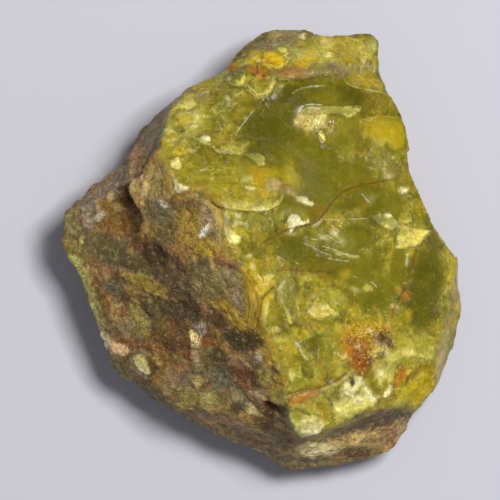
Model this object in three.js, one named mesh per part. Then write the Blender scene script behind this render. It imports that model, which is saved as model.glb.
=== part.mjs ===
// Rough green opal: one broken lump of common opal that lies on a flat fracture face.
//
// The lump is a single solid. Its upper right side is a set of fresh, waxy fracture faces that fall
// away from a curved crest; its left flank is brown weathered rind; a dark ledge and a low shelf run
// along the front. Every main edge of the stone is written down below as a line of corner points, and
// the faces between the edges are stretched over those lines, so the edges stay crisp while the faces
// curve gently, as conchoidal fractures do.
//
// Units are millimetres. +Z is up and the stone rests on Z = 0. +Y runs from the front ledge to the
// capped end, which is the stone's longest extent, and the origin is the middle of the footprint.
import * as THREE from "three";
import { ImprovedNoise } from "three/addons/math/ImprovedNoise.js";

// ---- Driving dimensions ----
const FACET_ABOVE = 2.35; // longest facet edge on the upper side
const FACET_BELOW = 4; // longest facet edge under the rim
const FACET_FOOT = 9; // longest facet edge inside the flat foot
const SETTLE_ROUNDS = 7; // how often the faces are relaxed between the edges
const WOBBLE = 0.22; // how far a long edge wanders from a straight line
const WOBBLE_LENGTH = 5; // over this distance
const RIND_LUMP = 0.55; // height of the lumps on the weathered rind
const RIND_LENGTH = 6; // distance between those lumps
const FLOOR_CLEARANCE = 0.6; // nothing but the foot comes lower than this

// ---- The outline seen from above, clockwise from the capped end: [x, y, z] ----
const rim = [
  [-3.2, 39.6, 14], [0, 41.6, 12], [3.5, 42.5, 11], [8, 42.4, 12], [11.2, 41.2, 14],
  [13.5, 40.8, 14], [17, 41.4, 13], [21.5, 42, 12], [22.4, 40, 11], [22.5, 34.5, 12.5],
  [24.4, 30, 13], [27, 27, 12], [28, 23, 12], [28.3, 19, 11], [28.5, 15, 11], [31, 9.5, 11],
  [32.6, 5.5, 11], [34.7, 2.5, 10], [37.4, -1, 8.5], [38.4, -6.5, 7], [38.4, -12.5, 7],
  [37.2, -18, 7], [35.5, -21.5, 7], [34.5, -26, 8], [32, -29, 10], [29, -31.5, 12],
  [28, -35, 8.5], [25.5, -39, 8], [19, -40.9, 8], [12, -42, 8], [5.5, -42.7, 9],
  [1, -40.5, 10], [-4, -37.5, 11], [-14, -32.9, 11], [-19, -30.3, 11], [-25.7, -25.3, 11],
  [-29, -22, 11.5], [-30.8, -17, 13], [-33, -11, 14], [-36.2, -3, 14], [-38.4, 2, 15],
  [-37.8, 4.5, 16], [-38.3, 6.5, 16], [-36.5, 9, 14], [-29, 15.2, 12], [-25.5, 19, 11],
  [-24.2, 21, 10], [-24, 23.2, 10], [-20.5, 25.5, 12], [-14, 31, 18], [-7.5, 34, 17.5],
  [-4.8, 37.5, 15],
];

// ---- The edges of the upper side ----
const edges = {
  crest: [
    [-14, 31, 18], [-17.5, 27.5, 24], [-18.5, 23, 29], [-19.5, 19.5, 31.5], [-18.5, 16.5, 33],
    [-17, 13.5, 35], [-15.5, 11.5, 36.5], [-11, 10.5, 37.5], [-8.5, 8.5, 37.5], [-7.5, 5.5, 38],
    [-7, 1.5, 38], [-4, -2.5, 38.5], [-2.5, -5.5, 38], [-1.5, -10, 37], [0, -14.5, 35.5],
    [1.5, -18.5, 33.5], [3, -22.5, 31.5], [5, -28, 29.5],
  ],
  frontEdge: [
    [5, -28, 29.5], [5.5, -31, 28], [7.5, -35, 25], [10, -35, 24.5], [13.5, -34, 24],
    [16.5, -32.5, 23], [19, -31.5, 22], [22.5, -30.5, 20.5], [25.5, -30.5, 17.5], [29, -31.5, 12],
  ],
  ledgeFoot: [
    [7.5, -36.5, 21.5], [12, -36, 20], [16, -34.5, 18.5], [20, -33.5, 17], [24.5, -32.5, 14.5],
    [28, -32.5, 11],
  ],
  rindEdge: [
    [-30.8, -17, 13], [-28.5, -19.5, 14.5], [-26.5, -21, 15.5], [-23.5, -23.5, 16], [-19.5, -27.5, 16],
    [-14, -31, 16.5], [-9, -31, 19], [-3.5, -29.5, 22.5], [0.5, -29, 25], [4, -31, 25.5],
    [7.5, -35, 25],
  ],
  leftEdge: [
    [-38.3, 6.5, 16], [-35, 8.3, 17], [-30, 10.5, 18.5], [-28, 11.5, 20], [-26, 13, 23.5],
    [-23.5, 14, 27], [-21, 17, 30], [-19.5, 19.5, 31.5],
  ],
  leftStripRidge: [[-17.5, 27.5, 24], [-20.5, 22, 23], [-23, 17.5, 22], [-25, 14, 21]],
  bandRidge: [
    [-7.5, 34, 17.5], [-4, 34, 20.5], [0, 33, 22.5], [3, 33.5, 23], [7.5, 33.5, 23],
    [12, 34, 22.5], [16, 35, 20], [19, 35, 17], [22.5, 34.5, 12.5],
  ],
  bandFork: [[12, 34, 22.5], [15, 32.5, 20.5], [17.5, 31, 18.5], [21, 30.5, 16.5], [24.4, 30, 13]],
  capEdge: [[-4.8, 37.5, 15], [0, 38.5, 17.5], [4, 39, 17], [8, 40.5, 15], [11.2, 41.2, 14]],
  longVein: [
    [28.5, 15, 11], [22.5, 13.5, 16], [17, 11.5, 20], [14.5, 10.5, 22], [11.5, 7.5, 25.5],
    [7.5, 5, 29], [1.5, 2, 34], [-2.5, -0.5, 36.5], [-4, -2.5, 38.5],
  ],
  rightVein: [
    [34.7, 2.5, 10], [32.5, 2.5, 12.5], [30.5, 1, 14.5], [28.5, -2.5, 16], [27.5, -7, 17.5],
    [25.5, -10.5, 18.5], [22.5, -14, 20.5],
  ],
  rightEdge: [
    [37.4, -1, 8.5], [35.5, -5, 12], [35, -8.5, 12.5], [36, -11, 12], [34.5, -14.5, 13],
    [34, -18.5, 13.5], [33.5, -22, 13], [33.5, -25.5, 12], [32, -29, 10],
  ],
  frontStep: [[5, -28, 29.5], [8.5, -27.5, 28.8], [11, -27, 27.5], [14, -25, 26.5], [17.5, -23, 25]],
  plateEdge: [
    [-11.5, 11.3, 37.9], [-7.5, 9, 38.2], [-2.5, 8.5, 36.6], [1.5, 9.2, 34.5], [4, 10.8, 32.9],
    [5.5, 13, 31.4], [5, 15.5, 30.9],
  ],
  plateFoot: [[-2.5, 7.2, 35.8], [2, 8, 33.2], [5, 10, 31.3], [6.8, 12.9, 29.9], [6.2, 16, 29.2]],
  knobEdge: [[-25.5, 13, 26.5], [-25, 10, 26.5], [-23.5, 7, 27], [-23, 4.5, 27.5]],
  knobFoot: [[-26.5, 12, 22], [-25.5, 9, 22.5], [-24, 6, 24.5]],
};

// ---- Single points that shape the faces between those edges ----
const slopes = {
  greatFace: [
    [7.5, 31, 20.5], [3.5, 27, 23], [11, 27, 20], [-2.5, 27.5, 26], [-7.5, 29, 24.5],
    [-12, 25, 28], [17, 25.5, 17.5], [22.5, 25, 14.5], [-0.5, 21, 27.5], [7.5, 19, 22.5],
    [-6, 21, 30], [15, 17.5, 19], [22.5, 18.5, 15.5], [-12.5, 18.5, 33], [-4, 13.5, 35],
    [3.5, 13.5, 31.5], [9, 12.5, 25.5], [7.5, 8, 28], [17, 8.5, 19.5], [24.5, 8.5, 15],
    [-0.5, 5.5, 35], [13, 2, 24.5], [21, 2, 20], [4.5, -0.5, 32], [7.5, -6, 29.5],
    [15, -7.5, 25], [22.5, -6, 19.5], [4, -12, 33], [11, -15.5, 27.5], [17, -15.5, 24],
    [7.5, -21.5, 29.5], [13, -21.5, 26.5], [21, -23, 22], [26.5, -19, 18.5], [23.5, -28, 19.5],
  ],
  rightFace: [[30.5, -15.5, 15.5], [31.5, -6.5, 14], [29.5, -26, 14.5]],
  farBand: [[5.5, 37, 19.5], [13, 37.5, 17.5], [19, 38.5, 14.5], [0, 36, 20], [2, 40.5, 14], [19, 32.5, 16]],
  leftFlank: [
    [-32, 5.5, 18.5], [-28.5, 7.5, 21], [-23, 11.5, 28.5], [-19.5, 9.5, 31.5], [-15.5, 6, 34],
    [-11.5, 6.5, 36], [-29, 0, 20], [-21.5, 0, 26.5], [-13, 0, 33.5], [-31.5, -6.5, 17],
    [-24.5, -7.5, 21.5], [-16, -7.5, 27.5], [-8, -7.5, 33], [-27.5, -14.5, 17],
    [-19.5, -15.5, 21.5], [-12, -16.5, 26.5], [-4, -15.5, 32], [-21.5, -21.5, 17.5],
    [-14, -24, 20.5], [-6, -23, 25], [0, -22.5, 29], [-8, -28, 21.5], [-1.5, -26.5, 26],
  ],
  frontFace: [[-7, -34, 15], [0, -35, 18], [4.5, -38, 15], [7.5, -39.5, 13]],
  shelf: [[9, -39, 17.5], [15, -37.5, 16.5], [21, -36, 15], [25.5, -34.5, 11.5]],
  leftStrip: [[-21.5, 23.5, 16], [-27.5, 14, 15], [-32, 11, 14.5], [-26.5, 16.5, 15]],
  frontFacet: [[8.5, -31, 27], [12, -30, 25.8], [16, -28, 24.5], [20, -27.5, 23]],
};

// ---- The underside: the flat foot that the stone rests on, and the edges that rise from it ----
const foot = [
  [-27, 1, 0], [-25, -7.5, 0], [-22, -16, 0], [-13.5, -23.5, 0], [-4, -30, 0], [5.5, -34.5, 0],
  [14.5, -33.5, 0], [22, -27.5, 0], [29, -18.5, 0], [31.5, -7, 0], [27, 3, 0], [23.5, 11, 0],
  [22, 20.5, 0], [20.5, 28, 0], [17, 33.5, 0], [8, 35.5, 0], [0, 34.5, 0], [-5.5, 29.5, 0],
  [-9.5, 22.5, 0], [-17, 15, 0], [-23, 9, 0],
];
const keels = {
  left: [[-38.4, 2, 15], [-36, 1.5, 8.5], [-31.5, 1, 3.5], [-27, 1, 0]],
  frontLeft: [[-29, -22, 11.5], [-27, -20, 6.5], [-22, -16, 0]],
  front: [[5.5, -42.7, 9], [5.5, -40, 4.5], [5.5, -34.5, 0]],
  frontRight: [[28, -35, 8.5], [26.5, -32.5, 4.5], [22, -27.5, 0]],
  right: [[38.4, -6.5, 7], [36.3, -6.5, 3.2], [31.5, -7, 0]],
  farRight: [[28, 23, 12], [26.3, 22, 6], [22, 20.5, 0]],
  farCorner: [[22.4, 40, 11], [20.8, 38.2, 6], [17, 33.5, 0]],
  farLeft: [[0, 41.6, 12], [-0.3, 40, 6.5], [0, 34.5, 0]],
  shoulder: [[-14, 31, 18], [-13, 28.5, 10.5], [-9.5, 22.5, 0]],
  notch: [[-24.2, 21, 10], [-22, 19, 5.5], [-17, 15, 0]],
};
const belly = [
  [-31.5, -7, 7], [-29.5, -12.5, 7.5], [-17.5, -25, 6], [-6.5, -32, 6], [1, -36.5, 5],
  [16, -37.5, 4], [31.5, -23, 3.5], [33.5, -15, 3], [32, 2, 4], [27, 12, 5], [24, 29, 6.5],
  [10, 40, 5.5], [-7, 32.3, 8], [-17.5, 22, 7], [-29.5, 10, 7.5], [-25, 14, 6.5],
];

// ---- Shallow shell-shaped scars where flakes came off: centre, half sizes, turn in degrees, depth ----
const scars = [
  { at: [3, 24], size: [11, 8], turn: -20, depth: 1.0 },
  { at: [14.5, 14.5], size: [8, 5], turn: 15, depth: 0.6 },
  { at: [12, -3], size: [10, 5.5], turn: -15, depth: 0.7 },
  { at: [7, -13], size: [3.2, 7], turn: -12, depth: 0.7 },
  { at: [31, -10], size: [3.6, 7.5], turn: 0, depth: 0.5 },
  { at: [26.5, -24], size: [5, 4], turn: 30, depth: 0.5 },
  { at: [-10, 25], size: [5.5, 4], turn: 35, depth: 0.7 },
  { at: [-28, 4], size: [6, 4.5], turn: 20, depth: 0.9 },
  { at: [-20, -12], size: [7, 5], turn: -30, depth: 0.6 },
  { at: [3, 36], size: [2.4, 2.6], turn: 0, depth: 0.8 },
  { at: [20.5, -18], size: [4.6, 4.2], turn: 0, depth: 1.1 },
];

// ---- A net of triangles between scattered points, seen from above ----

function circumcircleHolds(points, [a, b, c], p) {
  const [ax, ay] = [points[a].x - p.x, points[a].y - p.y];
  const [bx, by] = [points[b].x - p.x, points[b].y - p.y];
  const [cx, cy] = [points[c].x - p.x, points[c].y - p.y];
  const a2 = ax * ax + ay * ay;
  const b2 = bx * bx + by * by;
  const c2 = cx * cx + cy * cy;
  return ax * (by * c2 - b2 * cy) - ay * (bx * c2 - b2 * cx) + a2 * (bx * cy - by * cx) > 0;
}

// Delaunay's triangulation by adding one point at a time: the triangles whose circle holds the new
// point go, and the hole that they leave is joined to it.
function triangulate(corners) {
  const far = 1e4;
  const tiny = 1e-5; // keeps points of a square grid off each other's circles
  const points = corners.map((p, i) => ({
    x: p[0] + tiny * Math.sin(12.9 * i),
    y: p[1] + tiny * Math.cos(78.2 * i),
  }));
  const n = points.length;
  points.push({ x: -far, y: -far }, { x: far, y: -far }, { x: 0, y: far });
  let triangles = [[n, n + 1, n + 2]];
  for (let i = 0; i < n; i++) {
    const open = triangles.filter((t) => circumcircleHolds(points, t, points[i]));
    const hole = new Map();
    for (const [a, b, c] of open) {
      for (const [from, to] of [[a, b], [b, c], [c, a]]) {
        if (hole.has(to + "_" + from)) hole.delete(to + "_" + from);
        else hole.set(from + "_" + to, [from, to]);
      }
    }
    triangles = triangles.filter((t) => !open.includes(t));
    for (const [from, to] of hole.values()) triangles.push([from, to, i]);
  }
  return triangles.filter((t) => t.every((v) => v < n));
}

const edgeKey = (a, b) => (a < b ? a + "_" + b : b + "_" + a);

function isInside(outline, x, y) {
  let inside = false;
  outline.forEach(([x1, y1], i) => {
    const [x2, y2] = outline[(i + 1) % outline.length];
    if (y1 > y !== y2 > y && x < x1 + ((y - y1) / (y2 - y1)) * (x2 - x1)) inside = !inside;
  });
  return inside;
}

// One side of the stone: a net over its points that keeps every edge line, cut off at the rim.
// Returns null and halves the first segment that the net misses, so that it can be tried again.
function netOver(lines, loose) {
  const corners = [];
  const place = new Map();
  const indexOf = (p) => {
    const key = p[0] + "," + p[1];
    if (!place.has(key)) place.set(key, corners.push(p) - 1);
    return place.get(key);
  };
  const chains = lines.map((line) => line.map(indexOf));
  loose.forEach(indexOf);
  const triangles = triangulate(corners);
  const known = new Set(triangles.flatMap(([a, b, c]) => [edgeKey(a, b), edgeKey(b, c), edgeKey(c, a)]));
  for (const [l, chain] of chains.entries()) {
    for (let i = 0; i + 1 < chain.length; i++) {
      if (known.has(edgeKey(chain[i], chain[i + 1]))) continue;
      const middle = lines[l][i].map((v, axis) => (v + lines[l][i + 1][axis]) / 2);
      lines[l].splice(i + 1, 0, middle);
      return null;
    }
  }
  const kept = triangles.filter((t) => {
    const [x, y] = [0, 1].map((axis) => t.reduce((sum, v) => sum + corners[v][axis], 0) / 3);
    return isInside(lines[0], x, y);
  });
  return { corners, triangles: kept, chains };
}

function netsOfBothSides() {
  const loop = [...rim, rim[0]];
  const above = [loop, ...Object.values(edges)];
  const below = [loop, [...foot, foot[0]], ...Object.values(keels)];
  for (;;) {
    const upper = netOver(above, Object.values(slopes).flat());
    const lower = upper && netOver(below, belly);
    if (upper && lower) return [upper, lower];
  }
}

// ---- The closed shell ----

// Joins the two nets along the rim. ridges holds the keys of the segments that stay crisp.
function closedShell() {
  const [upper, lower] = netsOfBothSides();
  const vertices = [];
  const place = new Map();
  const ridges = new Set();
  const triangles = [];
  for (const [side, net] of [upper, lower].entries()) {
    const number = net.corners.map((p) => {
      const key = p.join(",");
      if (!place.has(key)) place.set(key, vertices.push(new THREE.Vector3(...p)) - 1);
      return place.get(key);
    });
    for (const [a, b, c] of net.triangles) {
      const t = [number[a], number[b], number[c]];
      triangles.push(side === 0 ? t : t.reverse());
    }
    for (const chain of net.chains) {
      for (let i = 0; i + 1 < chain.length; i++) {
        ridges.add(edgeKey(number[chain[i]], number[chain[i + 1]]));
      }
    }
  }
  const isAbove = vertices.map((_, i) => i < upper.corners.length);
  return { vertices, triangles, ridges, isAbove };
}

// Halves every edge that is longer than its limit until none is left.
function refine({ vertices, triangles, ridges, isAbove }) {
  const limit = (a, b) => {
    const flat = vertices[a].z === 0 && vertices[b].z === 0 && !ridges.has(edgeKey(a, b));
    if (flat) return FACET_FOOT;
    return isAbove[a] && isAbove[b] ? FACET_ABOVE : FACET_BELOW;
  };
  for (let changed = true; changed; ) {
    const middles = new Map();
    const middleOf = (a, b) => {
      const key = edgeKey(a, b);
      if (!middles.has(key)) {
        if (vertices[a].distanceTo(vertices[b]) <= limit(a, b)) return -1;
        const m = vertices.push(vertices[a].clone().lerp(vertices[b], 0.5)) - 1;
        isAbove[m] = isAbove[a] && isAbove[b];
        middles.set(key, m);
        if (ridges.delete(key)) ridges.add(edgeKey(a, m)).add(edgeKey(m, b));
      }
      return middles.get(key);
    };
    const count = triangles.length;
    triangles = triangles.flatMap((t) => splitTriangle(t, middleOf, vertices));
    changed = triangles.length > count;
  }
  return { vertices, triangles, ridges };
}

// A triangle with some of its edges halved, as one to four new triangles.
function splitTriangle([a, b, c], middleOf, vertices) {
  const [ab, bc, ca] = [middleOf(a, b), middleOf(b, c), middleOf(c, a)];
  const halved = [ab, bc, ca].filter((m) => m >= 0).length;
  if (halved === 0) return [[a, b, c]];
  if (halved === 3) return [[a, ab, ca], [ab, b, bc], [ca, bc, c], [ab, bc, ca]];
  // Turn the triangle so that its first edge is halved, and where two are, the third is whole.
  if (ab < 0 || (halved === 2 && bc < 0)) return splitTriangle([b, c, a], middleOf, vertices);
  if (halved === 1) return [[a, ab, c], [ab, b, c]];
  const shorter = vertices[ab].distanceTo(vertices[c]) < vertices[a].distanceTo(vertices[bc]);
  return shorter
    ? [[a, ab, c], [ab, b, bc], [ab, bc, c]]
    : [[a, ab, bc], [ab, b, bc], [a, bc, c]];
}

// Relaxes the faces between the crisp edges. An edge only slides along its own line.
function settle({ vertices, triangles, ridges }) {
  const around = vertices.map(() => new Set());
  const along = vertices.map(() => []);
  for (const [a, b, c] of triangles) {
    for (const [from, to] of [[a, b], [b, c], [c, a]]) {
      around[from].add(to);
      around[to].add(from);
    }
  }
  for (const key of ridges) {
    const [a, b] = key.split("_").map(Number);
    along[a].push(b);
    along[b].push(a);
  }
  const faceShare = 0.6;
  const edgeShare = 0.12;
  for (let round = 0; round < SETTLE_ROUNDS; round++) {
    const moved = vertices.map((v, i) => {
      if (v.z === 0 || (along[i].length && along[i].length !== 2)) return v.clone();
      const near = along[i].length ? along[i] : [...around[i]];
      const mean = near.reduce((sum, n) => sum.add(vertices[n]), new THREE.Vector3());
      return v.clone().lerp(mean.divideScalar(near.length), along[i].length ? edgeShare : faceShare);
    });
    moved.forEach((v, i) => vertices[i].copy(v));
  }
}

// ---- Relief on the faces ----

const noise = new ImprovedNoise();
const noiseAt = (v, length, shift) =>
  noise.noise(v.x / length + shift, v.y / length - shift, v.z / length + 2 * shift);

// How far inside a scar's oval the point is, as a bowl's depth.
function scarDepth(v, { at, size, turn, depth }) {
  const angle = THREE.MathUtils.degToRad(-turn);
  const [dx, dy] = [v.x - at[0], v.y - at[1]];
  const along = (dx * Math.cos(angle) - dy * Math.sin(angle)) / size[0];
  const across = (dx * Math.sin(angle) + dy * Math.cos(angle)) / size[1];
  return depth * Math.max(0, 1 - along * along - across * across);
}

// The rind covers the left flank, the far cap, the front and the underside.
function rindShare(v) {
  const crestX = THREE.MathUtils.clamp(-8 - 0.35 * v.y, -19, 5);
  const flank = THREE.MathUtils.smoothstep(crestX - v.x, 0, 4);
  const front = THREE.MathUtils.smoothstep(-v.y, 33, 37);
  const under = THREE.MathUtils.smoothstep(-v.z, -11, -7);
  return Math.max(flank, front, under);
}

function carve({ vertices, triangles }) {
  const normals = vertices.map(() => new THREE.Vector3());
  for (const [a, b, c] of triangles) {
    const side = vertices[b].clone().sub(vertices[a]);
    const normal = side.cross(vertices[c].clone().sub(vertices[a]));
    for (const i of [a, b, c]) normals[i].add(normal);
  }
  vertices.forEach((v, i) => {
    if (v.z === 0) return;
    const up = normals[i].normalize();
    const shape = v.clone();
    const lumps = noiseAt(shape, RIND_LENGTH, 1.7) + 0.5 * noiseAt(shape, RIND_LENGTH / 2, 4.1);
    let rise = RIND_LUMP * rindShare(shape) * lumps;
    if (up.z > 0.3) rise -= scars.reduce((sum, scar) => sum + scarDepth(shape, scar), 0);
    v.addScaledVector(up, rise);
    v.x += WOBBLE * noiseAt(shape, WOBBLE_LENGTH, 7.3);
    v.y += WOBBLE * noiseAt(shape, WOBBLE_LENGTH, 11.9);
    v.z = Math.max(v.z, FLOOR_CLEARANCE);
  });
}

function stoneGeometry() {
  const shell = refine(closedShell());
  settle(shell);
  carve(shell);
  const geometry = new THREE.BufferGeometry();
  const positions = shell.vertices.flatMap((v) => [v.x, v.y, v.z]);
  geometry.setAttribute("position", new THREE.Float32BufferAttribute(positions, 3));
  geometry.setIndex(shell.triangles.flat());
  geometry.computeVertexNormals();
  geometry.computeBoundingBox();
  const middle = geometry.boundingBox.getCenter(new THREE.Vector3());
  return geometry.translate(-middle.x, -middle.y, 0);
}

const waxyGreen = new THREE.MeshStandardMaterial({ color: 0x8a8a1c, roughness: 0.42, metalness: 0 });
const stone = new THREE.Mesh(stoneGeometry(), waxyGreen);
stone.name = "green_opal";

const roughGreenOpal = new THREE.Group();
roughGreenOpal.add(stone);
export default roughGreenOpal;
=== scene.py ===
# %% [markdown]
# # A lump of rough green opal
#
# The stone is one broken lump of common opal. Its right side is fresh, waxy and a little see-through.
# Its left flank is brown weathered rind, and a dark ledge and a sandy shelf run along the front. The
# lump arrives as a faceted solid. This lesson gives it a fine skin: ledges, chips and pits in the
# mesh, stains painted on its points, and materials that add the grain in between.
#
# Three kinds of work share the job. What has a place of its own, such as a vein, is listed. What
# follows a rule, such as the lumps of the rind, is noise. What repeats, such as crystal grains, is
# left to Geometry Nodes.

# %% Load the lump
import math
from itertools import product

import bmesh
import bpy
import numpy as np
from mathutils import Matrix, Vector


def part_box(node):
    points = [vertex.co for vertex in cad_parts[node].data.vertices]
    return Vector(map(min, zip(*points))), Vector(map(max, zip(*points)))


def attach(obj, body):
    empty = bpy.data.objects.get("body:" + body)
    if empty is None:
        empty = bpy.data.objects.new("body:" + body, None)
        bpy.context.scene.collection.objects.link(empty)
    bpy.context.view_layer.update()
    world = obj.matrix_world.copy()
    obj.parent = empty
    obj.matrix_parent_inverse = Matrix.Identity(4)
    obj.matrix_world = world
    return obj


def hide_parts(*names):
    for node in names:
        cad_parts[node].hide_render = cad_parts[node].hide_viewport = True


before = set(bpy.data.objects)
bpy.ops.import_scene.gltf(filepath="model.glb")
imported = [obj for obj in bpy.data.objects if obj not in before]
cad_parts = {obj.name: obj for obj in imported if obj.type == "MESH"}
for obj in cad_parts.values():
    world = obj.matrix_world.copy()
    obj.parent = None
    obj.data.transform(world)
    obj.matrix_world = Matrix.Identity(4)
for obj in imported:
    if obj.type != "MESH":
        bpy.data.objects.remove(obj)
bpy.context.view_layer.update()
low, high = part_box("green_opal")
PLAN_WIDTH = 77.35  # the lump's width in the plan's own millimetres
MM = (high.x - low.x) / PLAN_WIDTH
CENTRE = Vector(((low.x + high.x) / 2, (low.y + high.y) / 2, low.z))
TALL = (high.z - low.z) / MM
print(f"the lump is {high.x - low.x:.4f} x {high.y - low.y:.4f} x {high.z - low.z:.4f} m")

# %% [markdown]
# ## Camera, lamp and floor
#
# The stone lies down and the camera looks straight down on it, from far off with a long lens, so that
# its ridges and its rim keep their true sizes. One soft lamp stands to the upper right. It rakes over
# the fresh faces, leaves the rind flank in half shade and throws a soft shadow to the left. A weak
# sky fills that shadow.

# %% Camera
scene = bpy.context.scene
scene.view_settings.view_transform = "Standard"


def stand(name, data, place, target):
    """A camera or lamp at a place, pointed at a target."""
    thing = bpy.data.objects.new(name, data)
    scene.collection.objects.link(thing)
    thing.location = place
    thing.rotation_euler = (Vector(target) - Vector(place)).to_track_quat("-Z", "Y").to_euler()
    return thing


FIELD = 96.2 * MM  # width of the view, a third of the way up the stone
CAMERA_HEIGHT = 1.5
LEFT_OF_MIDDLE = 2.3 * MM
lens = bpy.data.cameras.new("camera")
lens.sensor_width = 36
lens.lens = lens.sensor_width * (CAMERA_HEIGHT - TALL * MM / 3) / FIELD
lens.clip_start, lens.clip_end = 0.01, 20
over = CENTRE - Vector((LEFT_OF_MIDDLE, 0, 0))
scene.camera = stand("camera", lens, over + Vector((0, 0, CAMERA_HEIGHT)), over)
scene.camera.rotation_euler = (0, 0, 0)
print(f"lens {lens.lens:.0f} mm, {CAMERA_HEIGHT} m above the stone")

# %% Lamp, sky and floor
LAMP_AWAY = 0.9
LAMP_SIZE = 0.26
LAMP_POWER = 7.6
LAMP_BEARING = math.radians(37)  # from +X, towards +Y
LAMP_RISE = math.radians(68)
LAMP_COLOUR = (1.0, 0.985, 0.96)
SKY_COLOUR = (0.84, 0.89, 1.0, 1)
SKY_STRENGTH = 0.22

flat = math.cos(LAMP_RISE) * LAMP_AWAY
lamp = bpy.data.lights.new("soft lamp", "AREA")
lamp.size, lamp.energy, lamp.color = LAMP_SIZE, LAMP_POWER, LAMP_COLOUR
from_lump = Vector((math.cos(LAMP_BEARING) * flat, math.sin(LAMP_BEARING) * flat,
                    math.sin(LAMP_RISE) * LAMP_AWAY))
stand("soft lamp", lamp, CENTRE + from_lump, CENTRE)

sky = bpy.data.worlds.new("sky")
sky.use_nodes = True
glow = sky.node_tree.nodes["Background"].inputs
glow["Color"].default_value, glow["Strength"].default_value = SKY_COLOUR, SKY_STRENGTH
scene.world = sky

FLOOR_HALF = 1.5
floor_mesh = bpy.data.meshes.new("floor")
corners = [(x * FLOOR_HALF, y * FLOOR_HALF, low.z) for x, y in ((-1, -1), (1, -1), (1, 1), (-1, 1))]
floor_mesh.from_pydata(corners, [], [(0, 1, 2, 3)])
floor = bpy.data.objects.new("floor", floor_mesh)
scene.collection.objects.link(floor)
print("one lamp, one sky, one floor")

# %% [markdown]
# ## A fine skin over the lump
#
# The lump's facets are about two millimetres long. A copy of it is merged into one shell, its sharp
# corners are creased, and two rounds of subdivision round off the rest. A voxel remesh then lays an
# even net over it, fine enough for a ledge as thin as a fingernail. Underneath, where less shows, the
# net is thinned, which keeps the piece light.

# %% Merge a copy and crease its corners
CREASE_FROM = math.radians(24)  # corners sharper than this stay crisp
CREASE = 0.75
MERGE = 1e-6  # metres
ROUNDS = 2  # of subdivision
NET = 0.34 * MM  # spacing of the fine net


def creased_copy(source):
    """The lump's triangles as one shell, its sharp corners marked for the subdivision."""
    mesh = source.data.copy()
    shell = bmesh.new()
    shell.from_mesh(mesh)
    bmesh.ops.remove_doubles(shell, verts=shell.verts, dist=MERGE)
    crease = shell.edges.layers.float.new("crease_edge")
    for edge in shell.edges:
        if edge.calc_face_angle(0) > CREASE_FROM:
            edge[crease] = CREASE
    shell.to_mesh(mesh)
    shell.free()
    return mesh


def finished(name, holder):
    """The holder with its modifiers worked out: a plain mesh object at the origin."""
    graph = bpy.context.evaluated_depsgraph_get()
    mesh = bpy.data.meshes.new_from_object(holder.evaluated_get(graph))
    bpy.data.objects.remove(holder)
    made = bpy.data.objects.new(name, mesh)
    scene.collection.objects.link(made)
    return made


rough = bpy.data.objects.new("rough shell", creased_copy(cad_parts["green_opal"]))
scene.collection.objects.link(rough)
rounding = rough.modifiers.new("rounding", "SUBSURF")
rounding.levels = rounding.render_levels = ROUNDS
remesh = rough.modifiers.new("net", "REMESH")
remesh.mode, remesh.voxel_size = "VOXEL", NET
skin = finished("opal_stone", rough)
print(f"fine net: {len(skin.data.vertices)} points, {len(skin.data.polygons)} faces")

# %% Thin the net underneath
TRIANGLES = 188_000
LOOKS_DOWN = -0.3  # a point whose normal dips below this is on the underside


def rows_of(mesh, what, name):
    """One row of three numbers for each point of the mesh."""
    rows = np.empty(len(mesh.vertices) * 3, np.float32)
    getattr(mesh, what).foreach_get(name, rows)
    return rows.reshape(-1, 3).astype(float)


below = skin.vertex_groups.new(name="below")
downward = rows_of(skin.data, "vertex_normals", "vector")[:, 2] < LOOKS_DOWN
below.add(np.flatnonzero(downward).tolist(), 1.0, "REPLACE")
thinner = skin.modifiers.new("thinner", "DECIMATE")
thinner.vertex_group = "below"
thinner.ratio = TRIANGLES / (2 * len(skin.data.polygons))
skin = finished("opal_stone", skin)
triangles = sum(len(face.vertices) - 2 for face in skin.data.polygons)
print(f"thinned: {len(skin.data.vertices)} points, {triangles} triangles")

# %% [markdown]
# ## Noise, worked out by hand
#
# Displacing the real mesh, and not only its shading, keeps the stone's outline honest from every side.
# Blender has a Displace modifier with noise textures, but here several kinds of relief have to fade
# into one another by zone, which is easier in plain arithmetic. Gradient noise gives each corner of a
# grid of cells a random slope and blends the eight slopes round a point. Adding finer copies makes
# it rough. Chips use the same grid in another way: each cell holds one tilted flat, and every point
# belongs to the nearest.

# %% Noise and chips
SEED = 23
OCTAVE_SHIFT = 11.7  # cells, so that the finer copies don't line up
STRETCH = 1.7  # brings the blended slopes to about -1 to 1
LOOSE = 0.45  # how far a chip's middle may stray from its cell's, in cells
FAR = 1e9
draw = np.random.default_rng(SEED)
SHUFFLE = draw.permutation(256)
SLOPES = draw.normal(size=(256, 3))
SLOPES /= np.linalg.norm(SLOPES, axis=1)[:, None]


def slopes_at(cells):
    """The random slope that belongs to each cell of the grid."""
    turn = SHUFFLE[cells[:, 0] & 255]
    turn = SHUFFLE[(turn + cells[:, 1]) & 255]
    return SLOPES[SHUFFLE[(turn + cells[:, 2]) & 255]]


def bumps(points, size, octaves=1):
    """Smooth bumps of a size, between about -1 and 1, with finer ones added for each octave."""
    total = np.zeros(len(points))
    for octave in range(octaves):
        spot = points / size * 2**octave + OCTAVE_SHIFT * (octave + 1)
        cell = np.floor(spot).astype(int)
        part = spot - cell
        ease = part * part * (3 - 2 * part)
        for corner in product((0, 1), repeat=3):
            share = np.prod(np.where(corner, ease, 1 - ease), axis=1)
            slope = slopes_at(cell + corner)
            total += share * np.einsum("ij,ij->i", slope, part - corner) * STRETCH / 2**octave
    return total


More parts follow.
